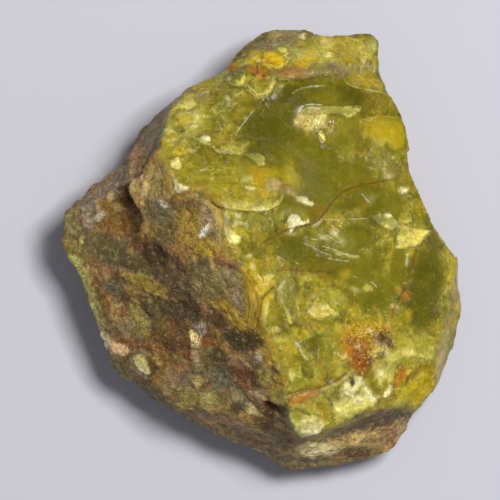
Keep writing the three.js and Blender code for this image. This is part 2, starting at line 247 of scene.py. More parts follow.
def own_chip(points, size):
    """For each point the random slope of the chip it belongs to, and its way from that chip's middle."""
    spot = points / size
    cell = np.floor(spot).astype(int)
    nearest = np.full(len(spot), FAR)
    own_slope, own_away = np.zeros((2, len(spot), 3))
    for step in product((-1, 0, 1), repeat=3):
        slope = slopes_at(cell + step)
        away = spot - (cell + step + 0.5 + LOOSE * slope)
        distance = np.einsum("ij,ij->i", away, away)
        closer = distance < nearest
        nearest[closer] = distance[closer]
        own_slope[closer], own_away[closer] = slope[closer], away[closer]
    return own_slope, own_away


def chips(points, size):
    """Flat chips of a size: how far each point stands up on the tilted flat of its own chip."""
    slope, away = own_chip(points, size)
    return np.einsum("ij,ij->i", slope[:, (1, 2, 0)], away)


def fade(value, full, none):
    """1 where the value is at or past `full`, 0 at or past `none`, and smooth in between."""
    share = np.clip((value - none) / (full - none), 0, 1)
    return share * share * (3 - 2 * share)


at = (rows_of(skin.data, "vertices", "co") - np.array(CENTRE)) / MM
facing = rows_of(skin.data, "vertex_normals", "vector")
plan = at[:, :2]
sample = bumps(at, 3)
print(f"noise of 3 mm on the skin: {sample.min():.2f} to {sample.max():.2f}")

# %% [markdown]
# ## Where the rind begins
#
# Seen from above, the fresh break and the rind meet along one wandering line. It is written as a list
# of places in millimetres from the middle of the stone, and everything to its left is rind. The
# underside is rind too, because it lay in the ground. Smooth lines through such lists also carry the
# veins and the ledges, so the two helpers come first: one draws a smooth line, the other finds the
# points near it, and on which side they are.

# %% Lines in plan
BESIDE = 0.35  # mm between the places of a smoothed line


def smooth_line(places):
    """A smooth line through places in plan."""
    ends = [places[0], *places, places[-1]]
    line = []
    for before, start, end, after in zip(ends, ends[1:], ends[2:], ends[3:]):
        before, start, end, after = (np.array(p, float) for p in (before, start, end, after))
        count = max(1, round(np.linalg.norm(end - start) / BESIDE))
        for t in np.arange(count) / count:
            line.append(0.5 * (2 * start + (end - before) * t
                               + (2 * before - 5 * start + 4 * end - after) * t**2
                               + (3 * start - 3 * end + after - before) * t**3))
    return np.array([*line, np.array(places[-1], float)])


def reached(line, span, least_up=0.0):
    """The points that look up and lie in a line's box, grown by a span."""
    grown = np.all((plan > line.min(0) - span) & (plan < line.max(0) + span), axis=1)
    return np.flatnonzero(grown & (facing[:, 2] > least_up))


def off_piece(spots, start, step):
    """How far along one straight piece each spot lies, as a share, and its way off that piece."""
    part = np.clip((spots - start) @ step / (step @ step), 0, 1)
    return part, spots - start - part[:, None] * step


def beside(places, span):
    """The points within a span of a line: which, how far to its left, and how far along it."""
    line = smooth_line(places)
    near = reached(line, span)
    nearest = np.full(len(near), FAR)
    left, along = np.zeros((2, len(near)))
    for number, (start, step) in enumerate(zip(line, np.diff(line, axis=0))):
        part, off = off_piece(plan[near], start, step)
        distance = np.hypot(*off.T)
        closer = distance < nearest
        nearest[closer] = distance[closer]
        left[closer] = (np.sign(step[0] * off[:, 1] - step[1] * off[:, 0]) * distance)[closer]
        along[closer] = ((number + part) / (len(line) - 1))[closer]
    kept = nearest < span
    return near[kept], left[kept], along[kept]


def taper(along, full_from, full_to):
    """1 along the middle of a line, fading to 0 at its two ends."""
    return fade(along, full_from, 0) * fade(along, full_to, 1)


def within(outline, places):
    """Whether each place lies inside a closed outline."""
    inside = np.zeros(len(places), bool)
    x, y = places.T
    for (ax, ay), (bx, by) in zip(outline, [*outline[1:], outline[0]]):
        crosses = (ay > y) != (by > y)
        inside ^= crosses & (x < ax + (y - ay) * (bx - ax) / ((by - ay) or 1))
    return inside


# %% Share of rind at every point
RIND_EDGE = [
    (-17.3, 28.8), (-18, 26), (-18.8, 23.5), (-19.3, 21), (-19, 18.5), (-18, 16.5), (-17, 14), (-16.5, 11.3),
    (-12.2, 11.5), (-10, 9.8), (-7.8, 8), (-7.3, 5), (-7.3, 1), (-6.5, -1.2), (-4.8, -2.5), (-3.5, -4.5),
    (-2.5, -7.5), (-1.5, -10.5), (-0.9, -14), (0.8, -17), (2.8, -21), (3.8, -24), (4.1, -27.5), (4.3, -31.5),
    (6.5, -35.8), (12.2, -35.3), (16, -33.3), (19, -31.6), (22.5, -30.2), (26.5, -30.1), (29.8, -31),
]
RIND_ROUND = [(60, -31), (60, -60), (-60, -60), (-60, 60), (-17.3, 60)]  # back round the outside
SOFT_EDGE = 1.2  # mm over which fresh opal turns to rind
WANDER = 0.8  # mm
ALL_RIND, NO_RIND = -0.32, -0.12  # how a normal dips where the underside's rind is whole, and where it ends

edge_line = smooth_line(RIND_EDGE)
wander = np.column_stack([bumps(at + 40, 3.2, 3), bumps(at - 40, 3.2, 3)]) * WANDER
inside_rind = within(edge_line.tolist() + RIND_ROUND, plan + wander)
off_edge = np.full(len(at), FAR)
for place in edge_line:
    off_edge = np.minimum(off_edge, np.hypot(*(plan + wander - place).T))
rind = fade(np.where(inside_rind, off_edge, -off_edge), SOFT_EDGE, -SOFT_EDGE)
underneath = fade(facing[:, 2] + 0.15 * bumps(at, 4, 3), ALL_RIND, NO_RIND)
rind = np.maximum(rind, underneath)
print(f"{(rind > 0.5).mean():.0%} of the points are rind")

# %% [markdown]
# ## Lumps, chips and pits
#
# Opal breaks like glass, in shells and flats with a waxy feel. The large break is smooth, with faint
# rings where the shock ran through it. The yellow, cloudy parts broke into small chips. The rind has
# no flats: it is lumpy, grainy and pitted. Each kind of relief is weighed by its zone, added up, and
# the points are moved along their normals. Near the floor the relief fades out, so the stone still
# stands on the same spots.

# %% Relief by zone
SMOOTH_FACES = [  # x, y, half length, half width, turn
    (8, 23, 15, 9, 35), (12, 12, 12, 6, 0), (12, -1, 11, 4, -15), (31.5, -7, 3.5, 8, -8), (25, 22, 5, 4, -20),
    (20.5, -7.5, 6, 4, -10), (22, 9, 6, 4, -30), (26.2, -3, 2.2, 4, -5), (18, 2.5, 4.5, 2.6, 0),
]
PITS = [  # x, y, radius, depth
    (-12.6, -16, 1.5, 1.1), (-26.4, 9.2, 1.8, 1.3), (-23.8, 6.8, 1.2, 0.9), (-3.2, -24, 2.2, 0.5),
    (-8.4, -24, 1.6, 0.5), (1.4, -30, 1.3, 0.8), (19, -21.4, 1.6, 0.6), (22.5, -17.5, 1.9, 0.4),
    (9, 24.6, 1.4, 0.35), (12.7, 24.2, 1.2, 0.3), (-20, -1, 2.2, 0.5), (-14, -11, 2.4, 0.4),
]
FLOOR_FADE = 2.0  # mm above the floor, over which the relief fades out
RING_MIDDLE = (-9, 41)  # the rings on the smooth faces run round this place
RING_TURN = 2.6  # radians of the ripple for each millimetre


def blob(x, y, half_length, half_width, turn=0.0, shift=0.0):
    """Distance from the middle of an oval in plan, 1 at its edge."""
    off_x, off_y = (plan - (x, y) + shift).T
    cos, sin = math.cos(math.radians(turn)), math.sin(math.radians(turn))
    return np.hypot((off_x * cos + off_y * sin) / half_length, (off_y * cos - off_x * sin) / half_width)


smooth = np.zeros(len(at))
for face in SMOOTH_FACES:
    smooth = np.maximum(smooth, fade(blob(*face, shift=wander), 0.75, 1.1))
smooth *= (1 - rind) * fade(facing[:, 2], 0.5, 0.2)
fresh = 1 - rind
chippy = fresh * (1 - smooth)

# Heights and sizes are in millimetres: first lumps and pores on the rind, then chips on the break.
relief = rind * (0.36 * bumps(at, 5.5, 2) + 0.2 * bumps(at + 9, 1.9, 2))
relief -= rind * 0.45 * np.clip(bumps(at - 9, 1.5) - 0.25, 0, 1)
flaked = 0.5 + fade(bumps(at + 50, 8), 0.3, -0.3)
relief += chippy * flaked * (0.4 * chips(at, 5.2) + 0.16 * chips(at + 5, 2.2))
# The smooth faces have faint rings and slow swells, and the pits come last.
ring = np.hypot(*(plan - RING_MIDDLE).T)
relief += smooth * (0.02 * np.sin(ring * RING_TURN + bumps(at, 6) * 2) + 0.05 * bumps(at, 4, 2))
for x, y, radius, depth in PITS:
    relief -= depth * fade(blob(x, y, radius, radius, shift=wander), 0.35, 1) * (facing[:, 2] > 0)
print(f"relief from {relief.min():.2f} to {relief.max():.2f} mm")

# %% [markdown]
# ## Shards
#
# What the eye reads on a broken opal is not noise but shards: scales and chips with a clear outline,
# each with its own tone, some standing proud and some broken out. No rule places them, so each one is
# an outline in plan with a colour, how strongly it covers, and how far it stands up. Noise frays the
# outline a little. The same outlines raise the net here and colour it in a later cell, so colour and
# shape agree. Later shards lie over earlier ones, as dabs of paint do, so their order counts.

# %% Shards of the fresh break
FRESH_SHARDS = [  # colour, strength, lift in mm, outline in plan
    # upper left
    ("ochre green", 0.6, 0, [(-13, 30.5), (-9.5, 31.5), (-7, 32), (-6.5, 30), (-8.5, 28), (-11, 26),
     (-12.5, 28)]),
    ("lemon", 0.5, 0, [(-10.5, 32), (-9.3, 32.5), (-8.8, 31), (-9.2, 29.5), (-9.8, 29.5), (-10.3, 31)]),
    ("celery", 0.6, 0.1, [(-10, 32.5), (-8.5, 33.6), (-7, 33.5), (-7.2, 32.5), (-8.3, 32), (-9, 32.7)]),
    ("straw", 0.85, 0.2, [(-17, 27), (-15.5, 28.7), (-13.5, 29.2), (-12.8, 28), (-13.5, 27.1),
     (-15.5, 26.7)]),
    ("lemon", 0.7, 0.1, [(-16.2, 28.3), (-15, 29.7), (-13, 30.2), (-13, 29.3), (-14.5, 28.8), (-15.3, 28)]),
    ("beige", 0.7, 0, [(-18, 26), (-17.2, 27.8), (-16.3, 28.7), (-17, 27), (-17.2, 26)]),
    # painted shade in two crevices
    ("crevice shade", 0.6, -0.15, [(-16, 26.6), (-14, 27), (-12.5, 27.4), (-12.8, 26.8), (-14.5, 26.5)]),
    ("crevice shade", 0.7, -0.25, [(-17, 23.6), (-16, 24), (-14.8, 23.3), (-14.8, 22.1), (-15.8, 22.3),
     (-16.5, 22.9)]),
    ("sugar", 0.8, 0.1, [(-18.5, 23), (-17.8, 23.6), (-17, 22.6), (-17.5, 22), (-18.4, 22.2)]),
    ("chalk", 0.75, 0.1, [(-13.4, 23.4), (-13, 24.2), (-12.3, 24.2), (-12, 23.6), (-12.8, 23)]),
    ("chalk", 0.6, 0, [(-12.8, 26), (-12.3, 25.9), (-12, 25.2), (-12.5, 25)]),
    ("sage", 0.7, 0.05, [(-7, 29.7), (-5.7, 29), (-6, 27.5), (-8, 26), (-7, 24.5), (-8, 22.6), (-9.3, 23),
     (-9, 25), (-10, 26), (-8.5, 27.4)]),
    ("straw", 0.6, 0.1, [(-10, 26.4), (-9, 27.4), (-8, 27.8), (-8.4, 27.3), (-9.4, 26.4)]),
    ("chalk", 0.7, 0, [(-7, 29.3), (-6.6, 29.6), (-6.2, 28.8), (-6.6, 28.5)]),
    ("amber", 0.55, 0.1, [(-9.8, 21.3), (-8.3, 22.2), (-6, 22), (-5.5, 20), (-7, 19), (-8.7, 19.3),
     (-9.8, 20.3)]),
    ("lime", 0.6, 0.1, [(-8.3, 19.2), (-6, 20), (-3.8, 21), (-2.5, 20.6), (-3.5, 19.5), (-4, 18.5),
     (-6, 18.6), (-7.8, 18.6)]),
    ("chalk", 1, 0.2, [(-11.9, 20.7), (-11.2, 21.3), (-10.3, 21.2), (-9.9, 20.6), (-10.4, 20.1),
     (-11.3, 20.3)]),
    ("green", 0.7, 0, [(-5.5, 29.5), (-3, 30), (-1.5, 28.5), (-3.5, 25), (-5, 22.5), (-6.5, 24.5),
     (-6, 27.5)]),
    # plate
    # painted shade under the upper lip
    ("ochre green", 0.6, 0, [(-14, 18), (-12, 19.7), (-9, 19), (-7, 18), (-8, 16.5), (-10, 15.5),
     (-13, 16)]),
    ("lemon", 0.75, 0.1, [(-17.8, 18.3), (-16.5, 19.5), (-14.8, 19.9), (-14, 18.8), (-14.5, 17.7),
     (-17, 17.5)]),
    ("sugar", 1.3, 0.15, [(-17.9, 17), (-16.8, 17.4), (-15.5, 17), (-15.4, 16), (-16.3, 15.6), (-17.4, 16)]),
    ("chalk", 1.6, 0.15, [(-17, 14), (-16.3, 12.8), (-15, 11.9), (-14, 11.8), (-14, 11.3), (-15.5, 11),
     (-16.6, 11.5)]),
    # painted highlight: a small glint
    ("chalk", 0.8, 0, [(-13.8, 19), (-13.4, 19.4), (-13.1, 19), (-13.5, 18.8)]),
    ("mustard", 0.5, 0, [(-8, 13), (-6.5, 13.5), (-5, 11.5), (-2, 12), (-1, 9.5), (-5, 9.5), (-7.5, 11)]),
    ("pear", 0.6, 0.05, [(-8.7, 8.8), (-7.5, 9.7), (-5, 8.8), (-2, 8.7), (1, 8.8), (3, 9.8), (4, 11),
     (3.7, 9.2), (2.5, 8), (0, 7.5), (-4, 7.9), (-6.5, 7.7)]),
    ("chalk", 1.5, 0.1, [(-2.4, 7.9), (-1.2, 8.4), (0, 8.5), (0.5, 7.7), (-0.5, 7.4)]),
    # painted shadow under the plate's front edge
    ("olive", 0.6, -0.1, [(-5, 7.5), (-2, 7.1), (1, 6.9), (2.7, 7.5), (1, 6.3), (-2, 6.4), (-4.5, 6.9)]),
    ("gold", 1, 0, [(-2.2, 16), (-0.8, 16.6), (0.9, 15.6), (0.6, 13.4), (-0.6, 12.4), (-2, 12.6)]),
    ("orange", 0.55, 0, [(-2, 15.5), (-0.8, 16), (0.4, 15.2), (0.2, 13.8), (-0.5, 12.8), (-1.7, 12.9)]),
    ("lemon", 0.65, 0, [(0.7, 15.6), (2.2, 16.2), (3.6, 14.6), (2.8, 13.7), (1, 14)]),
    ("lemon", 0.5, 0, [(4, 14), (4.6, 16), (5.3, 17), (6, 15.5), (7.3, 14), (7.4, 12.3), (5.5, 12.2)]),
    ("peach", 0.85, 0.05, [(0.9, 13.8), (2.4, 13.6), (4.1, 12.8), (3.3, 12), (1.5, 12), (0.3, 12.6)]),
    ("peach", 1.1, 0.05, [(3.9, 12.2), (5.2, 11.6), (6.6, 10.2), (6.2, 10), (5, 10.9), (3.9, 11.6)]),
    ("chalk", 0.6, 0, [(0.8, 11.9), (2.3, 12.2), (2.9, 11.4), (1.6, 11.1)]),
    ("gold", 0.7, 0, [(-0.8, 12.8), (0.7, 12.8), (0.6, 11.3), (2.3, 10.8), (1, 9.9), (-1, 10.8)]),
    # painted highlights: two glints on the plate
    ("chalk", 0.9, 0.1, [(-3.2, 12.2), (-2.3, 11.9), (-0.8, 11.4), (-1.3, 11.1), (-2.2, 11.2), (-3, 11.7)]),
    ("chalk", 0.7, 0, [(-3.4, 13.7), (-2.2, 13.5), (-2.4, 13.2), (-3.3, 13.3)]),
    ("cream", 1, 0.05, [(1.6, 13.8), (2.4, 13.4), (3.3, 12.9), (2.8, 13.8)]),
    ("brick", 0.8, 0, [(2.6, 12.4), (4.4, 12.6), (4, 11.7)]),
    ("celery", 0.8, 0.25, [(-3.4, 18), (-2, 18.4), (0.4, 17.4), (0.4, 16.2), (-0.5, 15.9), (-1.3, 16.7),
     (-2.3, 17.4)]),
    # painted highlight: a glint along the long vein
    ("chalk", 0.9, 0.15, [(6.3, 9.9), (7.6, 10.2), (9.8, 9), (9.6, 8.6), (8.2, 8.8), (6.8, 9.4)]),
    ("straw", 0.9, 0.1, [(-9, 9.6), (-7, 8.5), (-4.5, 8.1), (-2, 7.9), (0, 8), (1.5, 8.4), (2.8, 9.4),
     (3.6, 10.4), (4, 10.2), (3, 8.8), (1.7, 7.8), (0, 7.3), (-2, 7.3), (-4.5, 7.6), (-7, 7.8), (-9, 8.9)]),
    # far band
    ("lime", 0.6, 0.3, [(-3.9, 31.8), (-2.5, 33.6), (-1.8, 32.9), (0.5, 33.4), (2.4, 33), (2.4, 31.6),
     (1.4, 30), (0, 29.3), (-1, 29.2), (-2.4, 30.2)]),
    ("bright lemon", 0.6, 0.1, [(-3.8, 31.8), (-2.5, 33.8), (-2, 33.4), (-2.3, 32.7), (-3.2, 31.5)]),
    ("pear", 0.75, 0.1, [(2.4, 32.8), (2.4, 31.5), (1.4, 30), (0, 29.3), (-1.1, 29.2), (-0.6, 29.8),
     (0.6, 30.4), (1.3, 32)]),
    ("sage", 0.7, 0.25, [(-7, 32.4), (-6, 34.2), (-4.2, 34.6), (-3, 34), (-3, 32.8), (-3.8, 31.4),
     (-5.5, 31.8)]),
    ("bright rust", 1.4, 0, [(-6.6, 34.9), (-5.8, 35.7), (-4.3, 35.4), (-3.5, 34.8), (-4.8, 34.5),
     (-6, 34.5)]),
    ("flame", 1.6, 0, [(-2.7, 35.3), (-1.5, 35.6), (0, 35), (0.7, 34), (0.6, 33), (-1, 33.3), (-2.3, 33.9)]),
    ("cream", 0.7, 0, [(-4, 35.4), (-3.8, 36.7), (-2.7, 37.2), (-2.4, 36), (-3.1, 35.2)]),
    ("gold", 1.3, 0, [(-2.6, 36), (-2, 37.7), (-0.5, 38), (0, 36.5), (-0.3, 35.3), (-1.7, 35.5)]),
    # painted highlight: a glint
    ("chalk", 0.9, 0.1, [(-1, 36.1), (-0.8, 36.6), (-0.4, 36.5), (-0.5, 35.8)]),
    ("deep amber", 1.5, 0.2, [(0, 36.2), (0.3, 37.8), (1.5, 38.4), (3, 38.4), (4.2, 37.7), (4.7, 36.5),
     (4.3, 35.3), (2.5, 34.7), (0.9, 34.6), (0.2, 35.2)]),
    ("orange", 0.8, 0, [(0.1, 36.2), (0.8, 37.2), (1.6, 36.8), (1.8, 35.4), (0.9, 34.7), (0.2, 35.2)]),
    ("pear", 1.6, 0.2, [(3, 38.9), (4.5, 38.6), (5.2, 37.4), (5, 35.9), (4.6, 35.2), (4.8, 36.6),
     (4.2, 37.8), (3.1, 38.5)]),
    ("celery", 1, 0.05, [(5.2, 37.5), (5.2, 39), (7, 39), (7.6, 37.6), (6.8, 36.3), (5.5, 36)]),
    ("gold", 1.6, 0, [(6, 35.6), (7.9, 36.6), (9, 38.2), (9.8, 38), (10.6, 36.7), (11.2, 35.8), (9.5, 35),
     (6.5, 34.7)]),
    ("ochre green", 0.6, 0, [(5.5, 39.2), (7.4, 40), (8.5, 41.2), (9.5, 41.8), (11, 40.8), (12.5, 40),
     (11, 39), (7.5, 38.8)]),
    ("oat", 1.7, 0, [(-2, 38.6), (0, 40.2), (2, 41.4), (4, 42.3), (7.3, 42.2), (7.4, 41), (6, 40.1),
     (4, 39.4), (2, 38.8), (0, 38.5)]),
    ("beige", 1.2, 0, [(1.4, 41), (3.4, 41.9), (4, 41.3), (2.5, 40.5)]),
    ("brown", 1.3, 0, [(-5.2, 36.5), (-3.6, 38.4), (-1.8, 40), (0, 41.3), (1.8, 42), (1.2, 40.9), (-1, 39.4),
     (-2.6, 38), (-4, 36.8)]),
    ("chalk", 1, 0.1, [(7.3, 40.9), (8, 41.5), (8.5, 41.2), (7.9, 40.6)]),
    ("sugar", 0.8, 0, [(10.7, 41.4), (12, 41.2), (12.8, 40.5), (11.5, 40)]),
    ("oat", 1.6, 0, [(8, 33.7), (10, 34.3), (12, 34.5), (13, 35.3), (14.5, 35.3), (16.2, 34.4), (15.5, 33.3),
     (14.3, 33.2), (13, 33.8), (11, 33.2), (9, 33)]),
    ("dusty pink", 1.3, 0, [(1.5, 33), (1.8, 34.3), (3.5, 34.6), (6, 34.4), (8, 33.8), (8, 33), (5.5, 32.8),
     (3, 32.9)]),
    ("flame", 1.2, 0, [(2.2, 34.7), (5.5, 35.1), (7.5, 34.6), (6, 34), (3, 34.2)]),
    ("cream", 1.1, 0.05, [(12.1, 37.6), (12.6, 38.5), (13.3, 38.1), (13.2, 36.9), (12.4, 36.9)]),
    ("amber", 0.9, 0, [(15, 36.2), (15.5, 37.4), (17.5, 38), (18.7, 37), (17.5, 36), (16, 35.7)]),
    ("pear", 1, 0.05, [(19, 36.3), (19.8, 37.8), (20.8, 38), (21, 36.8), (20, 36)]),
    ("celery", 1, 0.05, [(19.5, 40), (20, 41), (21.2, 41.3), (22, 40), (21.6, 38.5), (20.5, 38.8)]),
    ("beige", 1.2, 0, [(14.5, 35.1), (17, 35.3), (20.3, 35.8), (22, 35.6), (20, 35.1), (17, 34.9)]),
    ("celery", 1.1, 0, [(16.8, 34), (18, 34.5), (22.3, 34.6), (22.3, 34.2), (18.5, 34)]),
    ("gold", 0.4, 0.05, [(16, 32.8), (18, 33.4), (22.3, 33), (23.3, 31), (21, 30.8), (18.5, 31.1),
     (17, 31.7)]),
    # great face
    ("leaf", 0.5, 0, [(6.5, 29.9), (8, 31), (12.5, 31.6), (15, 30.3), (15, 28.5), (11, 28), (8, 28.4)]),
    ("celery", 0.8, 0.2, [(7, 26.5), (8, 27.3), (9.5, 27.7), (15.5, 27.4), (18.6, 27.6), (18.9, 26.9),
     (18, 26.2), (16.2, 25.5), (14.5, 26), (12, 26.3), (8.5, 26.4)]),
    ("tan", 0.7, 0.15, [(6.2, 24.6), (7.5, 25.6), (9, 26.1), (10.1, 25.6), (10.3, 24.6), (9, 23.9),
     (7, 23.9)]),
    ("tan", 0.75, 0.1, [(11.4, 25.2), (13, 25.5), (14.4, 24.6), (14.2, 23.6), (12.8, 22.8), (11.8, 23.8)]),
    ("sugar", 0.8, 0.1, [(9.9, 24.6), (10.9, 26.3), (12.7, 26.3), (12.3, 25.6), (11.2, 25), (11.1, 23.6),
     (10.3, 23.8)]),
    ("straw", 1, 0.2, [(10.6, 23), (11.2, 23.1), (12, 21.8), (12.1, 20.9), (11.4, 21), (10.8, 22)]),
    # painted shade
    ("olive", 0.7, 0, [(4.5, 24), (6.2, 24), (7.8, 23.6), (8, 22.4), (6, 21.7), (4, 22.5)]),
    ("lemon", 0.5, 0.05, [(18.4, 24.3), (20.5, 25.3), (24, 25.8), (26.8, 25.3), (27.5, 22), (27.5, 19.2),
     (25.5, 19.3), (23.8, 21), (22, 20.5), (20, 22)]),
    ("gold", 0.45, 0, [(20.5, 24), (23, 23.7), (26, 21.3), (26.7, 19.6), (25, 20), (23.3, 22), (21, 22.8)]),
    ("straw", 0.5, 0, [(21.3, 20.3), (22.3, 21), (23.6, 20.9), (23, 20)]),
    ("dust", 0.35, 0, [(21.3, 18.5), (22.5, 19.2), (24.2, 18.5), (28, 15.5), (26, 14.2), (24, 14.2),
     (22.5, 16.5)]),
    ("chalk", 0.7, 0, [(23.3, 14.1), (24.1, 14.7), (24.8, 14.1), (24.2, 13.6)]),
    ("chalk", 0.9, 0.1, [(26.2, 11.5), (27, 12.1), (28.4, 11.6), (28.2, 11), (27, 10.9)]),
    ("celery", 0.5, 0, [(19, 10.8), (22, 10.6), (21.8, 9.5), (20.5, 9)]),
    # centre
    ("chalk", 1.3, 0.15, [(5, 6.2), (6, 6.9), (7, 6.3), (7.4, 5.4), (8.8, 5.6), (8.9, 4.9), (7.3, 4.6),
     (6.2, 4.2), (5.7, 3.4), (5.3, 3.9)]),
    ("celery", 0.6, 0, [(4, 7.6), (5, 8.4), (6.6, 8), (8, 7.4), (7.5, 6.4), (6, 6.8), (4.8, 6.9)]),
    ("chalk", 0.6, 0, [(4.6, 3.5), (5.5, 3.6), (6.2, 3.1), (5.4, 3.1)]),
    ("honey", 0.45, 0, [(8.2, 8.3), (10, 8.5), (12.1, 8.3), (12, 7), (10.5, 5.6), (9, 5.5), (8.8, 6.5)]),
    ("chalk", 0.8, 0, [(9.8, 5), (10.7, 5.6), (11.4, 6.1), (11.1, 5.4), (10.4, 5)]),
    ("sugar", 1.3, 0.1, [(-7.4, 4.6), (-7, 2.6), (-6, 1.3), (-4.4, 1.4), (-3.9, 2.3), (-4.8, 2.9),
     (-5.6, 3.7), (-6.5, 4.2)]),
    ("lemon", 0.7, 0.05, [(-6.3, 4.5), (-5, 4.8), (-3.5, 4), (-2.5, 2.9), (-2.8, 2), (-4.2, 3),
     (-5.3, 3.8)]),
    ("chalk", 0.9, 0.1, [(-5.2, 7.1), (-4.4, 6.9), (-3.9, 6.2), (-4.7, 6.3)]),
    ("chalk", 0.8, 0, [(-5.3, 5.7), (-4.8, 5.6), (-4.8, 5.1), (-5.2, 5.2)]),
    ("cream", 0.7, 0, [(-4.1, 5.3), (-3, 5.1), (-3, 4.6), (-4, 4.8)]),
    ("chalk", 0.75, 0.05, [(-3.3, -1.2), (-2.6, -0.8), (-2.1, -1.3), (-2.9, -1.6)]),
    ("cream", 0.8, 0.1, [(-2.4, -2.5), (-1.8, -2.5), (-1.2, -3.3), (-1.6, -3.8), (-2.2, -3.3)]),
    ("brown", 0.4, 0, [(2, -3.2), (5, -3.4), (9, -3.6), (14, -3.7), (17, -2.6), (17, -3.4), (14, -4.6),
     (9, -4.4), (4, -4.5)]),
    ("celery", 0.45, 0, [(7.8, 2.6), (9.2, 2.5), (10.8, 2), (10.5, 0.5), (9, 0.3), (8, 1)]),
    ("celery", 0.5, 0, [(11, 3.9), (13.4, 4.1), (15, 3.2), (16.4, 2.4), (15.6, 1.1), (14, 1.6),
     (11.5, 2.7)]),
    ("chalk", 0.8, 0.05, [(11, 2.8), (11.8, 2.7), (12.3, 1.9), (11.3, 2.2)]),
    ("chalk", 0.7, 0.05, [(13.4, 3.9), (14.1, 3.4), (14.5, 2.6), (13.8, 2.9)]),
    ("cream", 0.95, 0.1, [(12.8, 0.4), (15, -0.3), (17, -0.9), (18.4, -1.3), (18.2, -1.6), (16.5, -1.2),
     (14.5, -0.7)]),
    ("gold", 0.6, 0, [(14.6, -4.3), (15.3, -3.5), (16.5, -3.6), (17, -4.4), (16.4, -5.4), (15.2, -5.2)]),
    ("ochre", 0.75, 0, [(17.1, 7.3), (18, 8.6), (18.6, 9.9), (19.4, 9.5), (20.4, 8.8), (20, 7.4),
     (18.5, 6.8)]),
    # right side
    ("celery", 0.75, 0.25, [(21.2, 6.5), (23, 6.7), (24.5, 6.9), (25, 6), (26, 5.2), (26, 4), (25, 3.8),
     (22.5, 4.7), (21.6, 5.6)]),
    ("chalk", 0.95, 0.1, [(21.3, 6.5), (23, 6.8), (24.6, 7), (24.8, 6.1), (24, 5.9), (23.3, 6.4)]),
    ("chalk", 0.5, 0, [(25, 6), (26.1, 5.3), (26, 4.2), (25.4, 4.6), (25.2, 5.3)]),
    ("straw", 0.8, 0.2, [(26, 5.1), (28, 4.4), (30, 3.8), (32.2, 3.5), (31.5, 2.7), (30.3, 1.2), (28.5, 0.6),
     (26.1, 0.3), (26, 2.5)]),
    ("bright lemon", 0.6, 0, [(28, 3.2), (30, 3.4), (31, 2.8), (30, 1.5), (28.6, 1.8)]),
    ("sugar", 0.85, 0, [(29.9, 2.9), (31.2, 3.2), (31.5, 2.7), (30.6, 1.9)]),
    ("sugar", 0.8, 0, [(28.3, 1.2), (28.9, 2), (29.5, 1.2), (29, 0.8)]),
    ("lime", 0.75, 0.15, [(26, 6.4), (26.8, 7), (28, 7.4), (28.7, 6.8), (28.8, 5.5), (27.5, 5.2),
     (26.3, 5.4)]),
    ("olive", 0.6, 0, [(30.2, 0), (32.5, 2.6), (35, 1), (36, -1.5), (35.4, -5), (35, -9), (35.8, -12),
     (34.5, -14), (31, -15), (28, -14.8), (26.3, -13), (27.2, -10.5), (29, -7), (29.2, -3)]),
    ("lemon", 0.8, 0, [(36.2, -1.5), (37, -2), (37.3, -3.5), (36.7, -5.5), (36.4, -8), (35.7, -8),
     (35.7, -5.5), (36, -3.5)]),
    ("beige", 0.7, 0, [(37.2, -2.6), (38, -4), (38.5, -6.5), (38.4, -10), (37, -12), (36.4, -9), (36.8, -6),
     (37.4, -4.5)]),
    ("cream", 0.8, 0, [(34.9, -7.2), (35.3, -6.4), (35.6, -7.2), (35.2, -7.9)]),
    ("beige", 0.9, 0, [(36.4, -12), (36.6, -14), (36.3, -18), (35.6, -21), (34.6, -24.5), (34, -27),
     (33.3, -25), (33.6, -21), (33.9, -17), (34.6, -14), (35.8, -12.8)]),
    ("khaki", 0.5, 0, [(36.3, -15.5), (37.2, -16), (36.6, -19), (35.8, -20)]),
    ("flame", 0.85, 0, [(25.7, -7.4), (26.6, -7.1), (27.4, -7.8), (28.6, -8.2), (28.2, -9), (27.3, -9.5),
     (26.4, -8.8)]),
    ("celery", 0.65, 0, [(24.6, -9.4), (25.7, -9), (26.3, -10.3), (26.9, -11.2), (26, -12.1), (25.3, -11.5),
     (24.1, -11.2)]),
    ("cream", 0.9, 0.1, [(24.8, -10.3), (25.6, -10.1), (25.8, -10.8), (25, -10.9)]),
    ("gold", 0.8, 0, [(27.3, -11.4), (28, -11.2), (28.5, -11.9), (28, -12.9), (27.4, -12.7)]),
    ("straw", 0.7, 0.1, [(19, -7.5), (20, -6.4), (21.1, -7.2), (20.8, -8), (19.8, -8.2)]),
    ("pear", 0.6, 0.05, [(15.5, -6.9), (16.2, -6.5), (17.8, -7.2), (19, -8.1), (18.3, -8.1), (16.8, -7.4)]),
    # fin and crest
    ("sage", 0.75, 0.35, [(3.2, -7.2), (4.2, -5.5), (6, -5.5), (6.2, -9.3), (7, -11.5), (7.4, -14),
     (6.4, -14.4), (4.9, -14), (4.2, -12), (3.3, -10.5)]),
    ("pear", 0.6, 0.05, [(6, -6.5), (6.3, -9), (7.1, -11.5), (7.5, -14), (7, -13.8), (6.5, -11.5),
     (5.8, -9)]),
    ("chalk", 0.8, 0.1, [(3.4, -7), (3.7, -6), (4.3, -5.4), (4, -6.3), (3.7, -7.1)]),
    ("lemon", 0.6, 0.1, [(5.4, -14.4), (6.8, -14.2), (8, -15), (9, -16.5), (8, -17.3), (6.6, -17),
     (5.6, -16)]),
    ("celery", 0.75, 0.2, [(6.2, -17.2), (7.3, -17.9), (8.8, -19.8), (8.9, -21), (8.2, -21.3), (7.4, -19.8),
     (6.5, -18.3)]),
    ("gold", 0.75, 0.1, [(-4, -2), (-3, -2.4), (-2.2, -4.4), (-0.8, -6), (1.5, -5.6), (2.7, -6), (2.6, -7),
     (1, -7.6), (0, -9.8), (-0.9, -8), (-2.3, -6.2), (-3.6, -4.4)]),
    ("gold", 0.9, 0.05, [(1, -8), (2.6, -7.7), (2, -9), (0.6, -10.1), (-0.1, -9.9), (0.4, -8.8)]),
